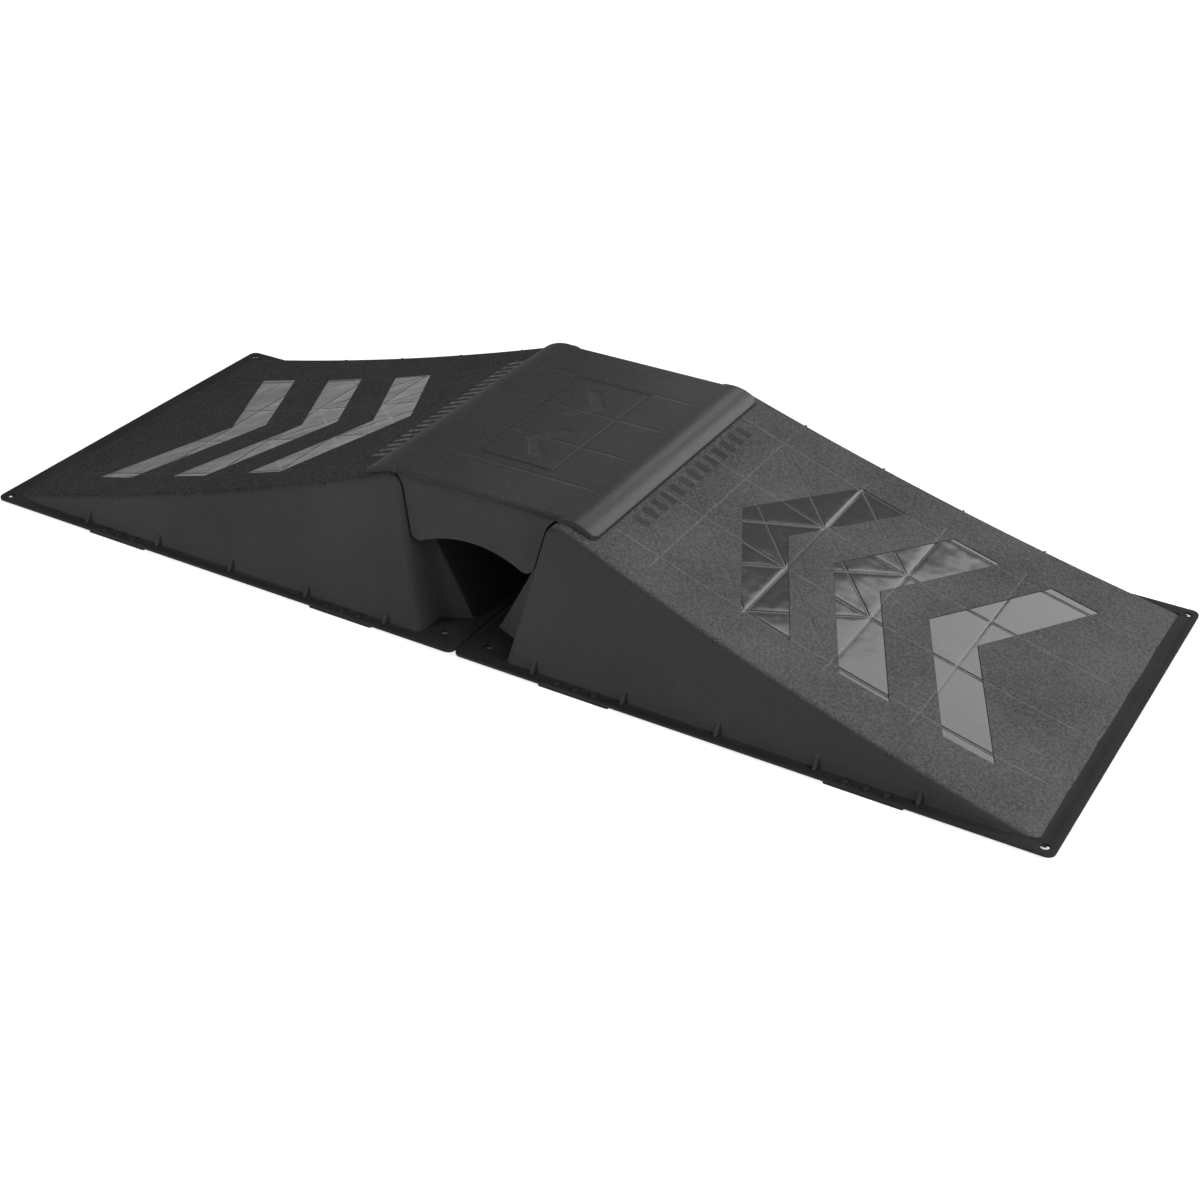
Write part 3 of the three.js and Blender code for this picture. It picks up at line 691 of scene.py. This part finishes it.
def new_material(name):
    """A material with nodes, its node tree, and the place on the object."""
    material = bpy.data.materials.new(name)
    material.use_nodes = True
    tree = material.node_tree
    return material, tree, tree.nodes.new("ShaderNodeTexCoord").outputs["Object"]


def black_plastic(name, dark, pale, rough, shine, grain, ribs_below, deck_dust_and_light=0, waves=0.5,
                  crease_depth=0.5, crease_highlight_tone=0.3, marks=None, mark_depth=0.1, mark_tone=0,
                  wear=(0, 0.1), satin=None):
    """Moulded plastic. Colour: a cloudy mix of two greys, with fine pale specks on the deck. The
    deck's
    tone is shifted by its share: paler for a positive share and darker for a negative one, partly
    dust and partly painted light for how the lamps fall on each deck. The lines over the ribs are
    painted paler as painted highlights, and the flange is painted darker as painted shade. Relief:
    slow waves, creases over the ribs below, marks pressed into the deck, and a fine grain. Wear is
    where the marks' tone sets in between 0 and 1. Satin is from where to where along the ride the
    deck grows smoother, and to what share."""
    material, tree, place = new_material(name)
    shader = tree.nodes["Principled BSDF"]
    along, _, height = axes(place)
    up_share = axes(tree.nodes.new("ShaderNodeTexCoord").outputs["Normal"])[2]
    above_flange = maths("GREATER_THAN", height, (flange_top + 1) / metre)
    on_deck = maths("MULTIPLY", remap(up_share, steep_deck, level_deck), above_flange)

    cloud = noise(place, cloud_scale, 4)
    speck = remap(noise(place, speck_scale, 2, 0.7), 0.35, 0.7, -0.5, 0.5)
    deck_speck = 0.75 + 0.55 * max(deck_dust_and_light, 0)
    speck = maths("MULTIPLY", speck, maths("MULTIPLY_ADD", on_deck, deck_speck, 0.15))
    tone = maths("ADD", maths("MULTIPLY_ADD", cloud, 0.5, 0.25), speck)
    # Dust and painted light: upward faces are made paler by a positive deck share and darker by a
    # negative one, partly dust and partly for how the lamps fall on each deck.
    dust = maths("MULTIPLY", maths("MULTIPLY_ADD", cloud, 1.2, 0.4), on_deck)
    tone = maths("MULTIPLY_ADD", dust, deck_dust_and_light, tone)
    # Painted shade: the flange and everything just above it at the foot of the walls are made
    # darker in colour.
    painted_flange_shade = maths("LESS_THAN", height, (flange_top + 1) / metre)
    tone = maths("MULTIPLY_ADD", painted_flange_shade, -0.3, tone)
    rub = maths("MULTIPLY_ADD", noise(place, rub_scale, 6), 0.2 * rough, 0.9 * rough)
    if satin:
        smoother = remap(along, satin[0], satin[1], 0, satin[2] - 1)
        smoother = maths("MULTIPLY_ADD", smoother, maths("GREATER_THAN", up_share, 0.6), 1)
        rub = maths("MULTIPLY", rub, smoother)
    tree.links.new(rub, shader.inputs["Roughness"])
    shader.inputs["Specular IOR Level"].default_value = shine

    relief = bump(noise(place, wave_scale, 2), {"Distance": wave_height, "Strength": waves})
    straight, net = ribs_below(place)
    net = maths("MULTIPLY", net, on_deck)
    # Painted highlight: the lines over the ribs are made paler in colour, most of all on the glossy
    # chevron floors.
    mark_wear_and_crease_highlight = maths("POWER", straight if grain else net, 3)
    tone = maths("MULTIPLY_ADD", maths("MULTIPLY", mark_wear_and_crease_highlight, on_deck), crease_highlight_tone, tone)
    relief = bump(net, {"Distance": crease_depth / metre, "Normal": relief}, invert=True)
    if marks:
        pressed = maths("MULTIPLY", marks(place), on_deck)
        relief = bump(pressed, {"Distance": mark_depth / metre, "Normal": relief}, invert=True)
        mark_wear_and_crease_highlight = remap(noise(place, wear_scale, 3), *wear, 0, mark_tone)
        tone = maths("MULTIPLY_ADD", pressed, mark_wear_and_crease_highlight, tone)
        tone = maths("SUBTRACT", tone, maths("MULTIPLY", pressed, speck))
    tree.links.new(greys(tone, dark, pale), shader.inputs["Base Color"])
    if grain:
        grip = maths("MULTIPLY_ADD", on_deck, 0.7 * grain, 0.3 * grain)
        relief = bump(noise(place, grain_scale, 3),
                      {"Distance": grain_height, "Strength": grip, "Normal": relief})
    tree.links.new(relief, shader.inputs["Normal"])
    return material


# The straight ramp: its deck has a coarser grain than the other mouldings, and its deck is set
# paler, partly as dust and partly as painted light where the lamps fall on it. Its greys are set
# darker than the curved ramp's though both are the same plastic, painted shade against the curved
# ramp's painted light.
straight_line = side_line(130, 4700, 72, first_rib=122, first_chevron=267, shift=0,
                          bars=(181, 22, 4, 158, 24))
parts, polish = ramp_parts(straight_line)
straight_ramp = fresh_piece("straight_ramp_shell", parts, polish=polish)
straight_ribs = deck_ribs(1, straight_line)
straight_ramp.data.materials.append(black_plastic(
    "straight_shell_plastic", 0.012, 0.046, 0.7, 0.15, 0.5, straight_ribs, deck_dust_and_light=1.5,
    crease_highlight_tone=1.1, marks=grip_bars(1, *straight_line.bars), mark_tone=-0.9))
straight_ramp.data.materials.append(black_plastic(
    "straight_chevron_gloss", 0.014, 0.028, 0.11, 0.5, 0, straight_ribs, waves=0.6,
    crease_depth=0.7, crease_highlight_tone=4.5))
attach(straight_ramp, "ramps")
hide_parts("straight_ramp")

# The curved ramp: a moulding of the same kind with its own places. It is made outward along +X
# and turned over to the other side.
curved_line = side_line(136, 5500, 62, first_rib=115, first_chevron=260, shift=-12,
                        bars=(190, 27, 10, 175, 17))
parts, polish = ramp_parts(curved_line)
curved_ramp = fresh_piece("curved_ramp_shell", parts, mirror=True, polish=polish)
curved_ribs = deck_ribs(-1, curved_line)
# Painted light: the curved shell's greys are set paler than the straight shell's, for the light its
# walls get from the front and left; its negative deck share is painted shade on its deck.
curved_ramp.data.materials.append(black_plastic(
    "curved_shell_plastic", 0.016, 0.056, 0.85, 0.12, 0.4, curved_ribs, deck_dust_and_light=-0.15,
    marks=grip_bars(-1, *curved_line.bars), mark_tone=3, wear=(0.2, 0.6)))
curved_ramp.data.materials.append(black_plastic(
    "curved_chevron_gloss", 0.016, 0.03, 0.26, 0.34, 0, curved_ribs, waves=1.6, crease_highlight_tone=4))
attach(curved_ramp, "ramps")
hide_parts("curved_ramp")

# The bridge: one moulding that spans the two ridges. Its deck is flat, its sides turn down as
# leaning aprons with an arched lower edge, and four ribs stiffen it from below.
bridge_top, bridge_thickness, bridge_round = 208.1, 4, 14
apron_thickness, apron_inset, apron_gap, apron_foot, apron_corner = 3.5, 11.4, 3, 126, 12
arch_rise, arch_margin = 17.5, 15
bridge_rib_pitch, bridge_rib_depth, bridge_rib_half = 94.6, 24, 1.2
bridge_rib_from, bridge_rib_to = -0.13, 0.115


def ramp_limit(line, z):
    """How far the bridge may reach towards a ramp at height z: a gap short of the end wall, and
    round the ridge at the same gap."""
    plain = line.wall(z) + apron_gap / np.cos(line.wall_angle)
    reach = ridge_radius + apron_gap
    rise = np.clip(z - (ridge_top - ridge_radius), 0, reach)
    curved = line.ridge - np.sqrt(reach ** 2 - rise ** 2)
    start = ridge_top - ridge_radius + reach * np.sin(line.wall_angle)
    return np.where(z < start, plain, curved)


def apron_outline(shares):
    """The apron's lower edge from left to right at shares of its length: a round corner, a short
    straight, a shallow arch, a straight and a corner."""
    sides = []
    for line in (curved_line, straight_line):
        corner = ramp_limit(line, np.array(float(apron_foot)))
        lean = np.pi - line.wall_angle
        middle = corner - apron_corner * np.tan((np.pi / 2 - lean) / 2)
        angle = np.linspace(-lean, -np.pi / 2, 9)
        sides.append(np.stack([middle + apron_corner * np.cos(angle),
                               apron_foot + apron_corner * (1 + np.sin(angle))], axis=-1))
        sides.append(corner)
    left, left_end, right, right_end = sides
    chord_from, chord_to = -left_end + arch_margin, right_end - arch_margin
    centre, chord = (chord_from + chord_to) / 2, (chord_to - chord_from) / 2
    radius = (chord ** 2 + arch_rise ** 2) / (2 * arch_rise)
    x = np.linspace(chord_from, chord_to, 40)
    arch = np.stack([x, apron_foot + arch_rise - radius + np.sqrt(
        radius ** 2 - (x - centre) ** 2)], axis=-1)
    path = np.concatenate([left * (-1, 1), arch, right[::-1]])
    length = np.concatenate([[0], np.cumsum(np.hypot(*np.diff(path, axis=0).T))])
    at = shares * length[-1]
    return np.interp(at, length, path[:, 0]), np.interp(at, length, path[:, 1])


def channel(shares, deck, inner):
    """One face of the bridge's middle. The rows run along the ride and the columns across: up an
    apron from its arched edge, round onto the deck, and down the far side."""
    foot_x, foot_z = apron_outline(shares)
    drop, thick = (bridge_thickness, apron_thickness) if inner else (0, 0)
    lean = np.arctan(side_batter)
    radius, rise = bridge_round - thick, bridge_round - drop
    turn = np.linspace(np.pi / 2, lean, 9)
    round_y = flat_half + radius * np.cos(turn)
    round_z = bridge_top - bridge_round + rise * np.sin(turn)

    def at_shares(share, z):
        left, right = ramp_limit(curved_line, z), ramp_limit(straight_line, z)
        return -left + share * (left + right)

    def side(sign):
        columns = [np.stack([at_shares(shares, np.array(z)), np.full_like(shares, sign * y),
                             np.full_like(shares, z)], axis=-1)
                   for y, z in zip(round_y[1:], round_z[1:])]
        left, right = ramp_limit(curved_line, foot_z), ramp_limit(straight_line, foot_z)
        foot_share = (foot_x + left) / (left + right)
        for part in np.linspace(0, 1, 15)[1:]:
            z = round_z[-1] + (foot_z - round_z[-1]) * part
            y = body_half(z) - apron_inset - thick / np.cos(lean)
            columns.append(np.stack([at_shares(shares + (foot_share - shares) * part, z),
                                     sign * y, z], axis=-1))
        return np.stack(columns, axis=1)

    level = bridge_top - drop
    x = at_shares(shares, np.array(level))[:, None] + np.zeros_like(deck)
    y = deck[None, :] / deck[-1] * flat_half + np.zeros_like(x)
    flat = np.stack([x, y, np.full_like(x, level)], axis=-1)
    return np.concatenate([side(-1)[:, ::-1], flat, side(1)], axis=1)


lip_half, lip_level, lip_fall_radius, lip_fall, lip_nose = 229, 5, 61, np.radians(40), 1.2
lip_fit, lip_corner, lip_rounding = 0.4, 8, 2.5
dimple_y, dimple_radius, dimple_depth = 215, 2.6, 0.5


def lip(line):
    """A lip of the bridge as a closed plate. Its top runs level past the ridge, falls in an arc
    and ends in a small round nose. Its underside follows the ridge's round and the deck. Its
    corners are round in plan, its ends are rounded over, and a small dimple marks each end."""
    downhill = np.array([np.sin(line.deck_angle), -np.cos(line.deck_angle)])
    level_end = line.ridge + lip_level
    fall = np.pi / 2 - np.linspace(0, lip_fall, 10)
    nose = np.linspace(fall[-1], np.arctan2(downhill[1], downhill[0]), 7)[1:]
    centre = np.array([level_end, bridge_top - lip_fall_radius])
    nose_centre = centre + (lip_fall_radius - lip_nose) * np.array([np.cos(fall[-1]),
                                                                    np.sin(fall[-1])])
    level = line.ridge - np.array([9, 6, 3, 0])
    upper = np.concatenate([
        np.stack([level, np.full_like(level, bridge_top)], axis=-1),
        centre + lip_fall_radius * np.stack([np.cos(fall), np.sin(fall)], axis=-1),
        nose_centre + lip_nose * np.stack([np.cos(nose), np.sin(nose)], axis=-1)])
    upper_angle = np.concatenate([np.full(len(level), np.pi / 2), fall, nose])

    x = np.minimum(upper[:, 0], upper[-1, 0])
    deck_z, deck_nx, deck_nz = line.deck(x)
    touch = line.ridge + ridge_radius * np.cos(line.deck_angle)
    over = np.clip((x - line.ridge) / ridge_radius, 0, 1)
    round_z = ridge_top + lip_fit - ridge_radius * (1 - np.sqrt(1 - over ** 2))
    under_z = np.where(x < touch, round_z, deck_z + lip_fit / deck_nz)
    under = np.stack([x, under_z], axis=-1)

    tuck = np.interp(upper[:, 0], line.ridge - np.array([9, 0]), [0.7, 0])
    left = upper[-1, 0] - np.minimum(upper[:, 0], upper[-1, 0])
    width = lip_half - lip_corner + np.sqrt(
        lip_corner ** 2 - np.clip(lip_corner - left, 0, lip_corner) ** 2)
    turn = np.linspace(0, np.pi / 2, 6)[1:]
    flat = np.linspace(-1, 1, 151) * (1 - lip_rounding / lip_half)
    end = 1 - lip_rounding / lip_half * (1 - np.sin(turn))
    share = np.concatenate([-end[::-1], flat, end])
    across = width[:, None] * share
    off = np.clip(lip_rounding - (1 - np.abs(share)) * lip_half, 0, lip_rounding)
    drop = lip_rounding - np.sqrt(lip_rounding ** 2 - off ** 2) + tuck[:, None]
    for sign in (-1, 1):
        away = np.hypot(upper[:, :1] - line.ridge - 3, across - sign * dimple_y)
        drop = drop + dimple_depth * np.exp(-(away / dimple_radius) ** 4)
    normal_x, normal_z = np.cos(upper_angle)[:, None], np.sin(upper_angle)[:, None]
    top_face = np.stack([upper[:, :1] - drop * normal_x, across,
                         upper[:, 1:] - drop * normal_z], axis=-1)
    bottom_face = np.stack([under[:, :1] + 0 * share, across, under[:, 1:] + 0 * share], axis=-1)
    return tube(top_face, bottom_face)


# The panel in the middle of the bridge has a sunk border and two broad arrow heads side by side,
# one for each way over the ramp.
panel_x, panel_y, panel_line, panel_depth = (-70, 52), (-128, 140), 6, 0.8
arrow_point, arrow_slope, arrow_from, arrow_to, arrow_half = 62, 0.7, 4, 24, 42
arrow_depth, arrow_soft = 0.7, 1.5


def arrow_share(x, y):
    """1 on the floors of the arrow heads and 0 outside them: strips along a bent line, whose
    point lies midway between their ends."""
    off_x, off_y = x - sum(panel_x) / 2, y - sum(panel_y) / 2
    from_point = np.abs(np.abs(off_y) - arrow_point)
    bent = off_x * np.sign(off_y) + arrow_slope * from_point
    half, middle = (arrow_to - arrow_from) / 2, (arrow_to + arrow_from) / 2
    strip = np.clip((half + arrow_soft - np.abs(bent - middle)) / (2 * arrow_soft), 0, 1)
    return strip * np.clip((arrow_half + arrow_soft - from_point) / (2 * arrow_soft), 0, 1)


def arrow_marks(place):
    """The same arrow heads as a mask for the material."""
    x, y, _ = axes(place)
    off_x = maths("SUBTRACT", x, sum(panel_x) / 2 / metre)
    off_y = maths("SUBTRACT", y, sum(panel_y) / 2 / metre)
    from_point = maths("SUBTRACT", maths("ABSOLUTE", off_y), arrow_point / metre)
    from_point = maths("ABSOLUTE", from_point)
    forward = maths("MULTIPLY", off_x, maths("SIGN", off_y))
    bent = maths("MULTIPLY_ADD", from_point, arrow_slope, forward)
    return maths("MULTIPLY",
                 band(bent, arrow_from / metre, arrow_to / metre, mark_edge),
                 band(from_point, -1, arrow_half / metre, mark_edge))


def bridge_ribs_below(place):
    """1 over the bridge's four ribs between its two ridges, given twice: they are all straight."""
    along, across, _ = axes(place)
    pitch = bridge_rib_pitch / metre
    straight = crease(maths("SUBTRACT", across, pitch / 2), pitch, bridge_crease)
    straight = maths("MULTIPLY", straight, band(along, bridge_rib_from, bridge_rib_to, crease_fade))
    return straight, straight


def panel_edges(low, high):
    """Rows or columns on both sides of each edge of the panel's border."""
    return both_sides([low, low + panel_line, high - panel_line, high], 0.4)


def inside_panel(points, inset):
    """Which points lie in the panel, or in what an inset leaves of it."""
    return np.all([(points[..., axis] > low + inset) & (points[..., axis] < high - inset)
                   for axis, (low, high) in enumerate((panel_x, panel_y))], axis=0)


flat_half = body_half(bridge_top) - apron_inset - bridge_round * np.tan(
    (np.pi / 2 - np.arctan(side_batter)) / 2)
deck_x = np.unique(np.concatenate([np.linspace(-curved_line.ridge, straight_line.ridge, 88),
                                   panel_edges(*panel_x)]))
deck_y = np.unique(np.concatenate([np.linspace(-flat_half, flat_half, 150),
                                   panel_edges(*panel_y)]))
shares = (deck_x + curved_line.ridge) / (curved_line.ridge + straight_line.ridge)
outer, inner = channel(shares, deck_y, False), channel(shares, deck_y, True)
border = (inside_panel(outer, 0) & ~inside_panel(outer, panel_line)
          & (outer[..., 2] > bridge_top - 0.01))
outer[..., 2] -= panel_depth * border + arrow_depth * arrow_share(outer[..., 0], outer[..., 1])
straight_lip, curved_lip = lip(straight_line), lip(curved_line)
curved_lip = (curved_lip[0] * (-1, 1, 1), curved_lip[1])
rib_z = np.array([bridge_top - bridge_rib_depth, bridge_top - 2.0])
left, right = ramp_limit(curved_line, rib_z), ramp_limit(straight_line, rib_z)
rib_ends = [(-left[0], rib_z[0]), (right[0], rib_z[0]), (right[1] - 6, rib_z[1]),
            (-left[1] + 6, rib_z[1])]
rib_sections = [[(x, y - bridge_rib_half, z) for x, z in rib_ends]
                for y in (np.arange(4) - 1.5) * bridge_rib_pitch]
bridge_ribs = prisms(np.array(rib_sections), np.array([0, 2 * bridge_rib_half, 0]))
bridge = fresh_piece("bridge_shell", [tube(outer, inner), straight_lip, curved_lip, bridge_ribs])
bridge.data.materials.append(black_plastic(
    "bridge_plastic", 0.004, 0.018, 0.75, 0.38, 0.3, bridge_ribs_below, deck_dust_and_light=0.7,
    marks=arrow_marks, mark_depth=0.6, mark_tone=0.5, satin=(-0.1, 0.11, 0.42)))
rounding = bridge.modifiers.new("edges", "BEVEL")
rounding.width, rounding.segments, rounding.angle_limit = 0.7 / metre, 2, 0.9
rounding.limit_method = "ANGLE"
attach(bridge, "bridge")
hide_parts("bridge")

# The rubber pads: six under each ramp, flat strips that keep it from sliding. Each is moulded
# with three plugs that are pressed up through the flange and end in small domed heads.
pad_length, pad_width, pad_corner, pad_top, pad_rounding = 104, 17, 3, 2.7, 0.5
head_radius, head_bottom, head_rim, head_top = 4.4, 7.3, 7.7, 9.5
stem_radius, stem_bottom = 3, 1.5


def plug(x, y):
    """A plug as a surface of revolution: a stem in the hole and a domed head above the flange."""
    turn = np.linspace(0, np.pi / 2, 6)
    radius = np.concatenate([[0, stem_radius, stem_radius, head_radius - 0.3],
                             head_radius * np.cos(turn) ** 0.7])
    height = np.concatenate([[stem_bottom, stem_bottom, head_bottom, head_bottom],
                             head_rim + (head_top - head_rim) * np.sin(turn)])
    points = np.array([[(px, py, z) for px, py in circle(x, y, max(r, 0.01), 20)]
                       for r, z in zip(radius, height)])
    return points.reshape(-1, 3), closed_rings(points)


rubber, tree, place = new_material("pad_rubber_black")
shader = tree.nodes["Principled BSDF"]
shader.inputs["Roughness"].default_value = 0.85
shader.inputs["Specular IOR Level"].default_value = 0.3
dust = noise(place, 160, 5)
tree.links.new(greys(dust, 0.008, 0.022, True), shader.inputs["Base Color"])
tree.links.new(bump(dust, {"Distance": grain_height, "Strength": 0.6}), shader.inputs["Normal"])

for ramp, mirror in (("straight", False), ("curved", True)):
    for where, x, y, lengthwise in pads:
        long, wide = (pad_length, pad_width) if lengthwise else (pad_width, pad_length)
        edge = rounded_corners(x - long / 2, x + long / 2, y - wide / 2, y + wide / 2,
                               pad_corner, 6)
        pad = fresh_piece(f"{ramp}_pad_{where}_rubber", [
            cut_plate([edge], 0, pad_top, pad_rounding),
            *[plug(*middle) for middle in plug_places(x, y, lengthwise)]], mirror=mirror)
        pad.data.materials.append(rubber)
        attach(pad, "ramps")
        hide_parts(f"{ramp}_pad_{where}")

# The studio: a pale floor that runs out to white, and an even dim room. Two soft lamps stand
# behind the ramp, the larger where the floors of the lower chevrons mirror it and the upper one
# looks past it. One on the right lights the straight deck and one in front the near walls.
floor_size, floor_tone, floor_glow = 30, 0.7, 0.7
glow_limit_x, glow_limit_y = 0.79, 0.275
room_strength, wall_strength, wall_low = 0.3, 0.7, 0.1


def seen_rays(tree):
    """1 for rays that bring a surface to the eye: straight, mirrored or through glass."""
    path = tree.nodes.new("ShaderNodeLightPath").outputs
    return maths("MAXIMUM", maths("MAXIMUM", path["Is Camera Ray"], path["Is Glossy Ray"]),
                 path["Is Transmission Ray"])


floor_mesh = bpy.data.meshes.new("floor")
floor_mesh.from_pydata([(-floor_size, -floor_size, 0), (floor_size, -floor_size, 0),
                        (floor_size, floor_size, 0), (-floor_size, floor_size, 0)],
                       [], [(0, 1, 2, 3)])
floor = bpy.data.objects.new("floor", floor_mesh)
bpy.context.scene.collection.objects.link(floor)
paint, tree, place = new_material("floor_white")
tree.nodes.remove(tree.nodes["Principled BSDF"])
matt = add_node("ShaderNodeBsdfDiffuse", {"Color": (floor_tone,) * 3 + (1,)}, tree).outputs[0]
glow = add_node("ShaderNodeEmission", {
    "Color": (1, 1, 1, 1), "Strength": floor_glow}, tree).outputs[0]
along, across, _ = axes(place)
below = maths("MULTIPLY", within(along, -glow_limit_x, glow_limit_x),
              within(across, -glow_limit_y, glow_limit_y))
glowing = maths("MULTIPLY", seen_rays(tree), maths("SUBTRACT", 1, below))
both = add_node("ShaderNodeAddShader", {0: matt, 1: glow}).outputs[0]
pick = add_node("ShaderNodeMixShader", {0: glowing, 1: matt, 2: both}).outputs[0]
tree.links.new(pick, tree.nodes["Material Output"].inputs["Surface"])
floor_mesh.materials.append(paint)

world = bpy.data.worlds.new("room")
bpy.context.scene.world = world
world.use_nodes = True
tree = world.node_tree
height = axes(tree.nodes.new("ShaderNodeTexCoord").outputs["Generated"])[2]
straight_rays = tree.nodes.new("ShaderNodeLightPath").outputs["Is Camera Ray"]
wall = maths("MAXIMUM", remap(height, 0.02, 0.25, wall_strength, wall_low),
             maths("MULTIPLY", straight_rays, wall_strength))
strength = maths("MULTIPLY_ADD", seen_rays(tree), wall, room_strength)
tree.links.new(strength, tree.nodes["Background"].inputs["Strength"])
tree.nodes["Background"].inputs["Color"].default_value = (1, 1, 1, 1)


def soft_lamp(name, place, aim_at, size, power):
    """A square lamp of a given size and power that faces a point."""
    lamp = bpy.data.objects.new(name, bpy.data.lights.new(name, "AREA"))
    lamp.data.size, lamp.data.energy = size, power
    lamp.location = place
    lamp.rotation_euler = (Vector(aim_at) - Vector(place)).to_track_quat("-Z", "Y").to_euler()
    bpy.context.scene.collection.objects.link(lamp)


soft_lamp("lamp_behind", (1.55, 3.1, 2.5), (0.4, 0, 0), 2, 40)
soft_lamp("lamp_behind_left", (-0.4, 3.1, 2.6), (0, 0, 0.2), 1, 8)
soft_lamp("lamp_right", (3.4, -0.3, 1.5), (0.2, 0, 0), 2, 110)
soft_lamp("lamp_front", (-1.8, -3, 0.9), (0, 0, 0), 1.8, 65)
bpy.context.scene.view_settings.view_transform = "Standard"
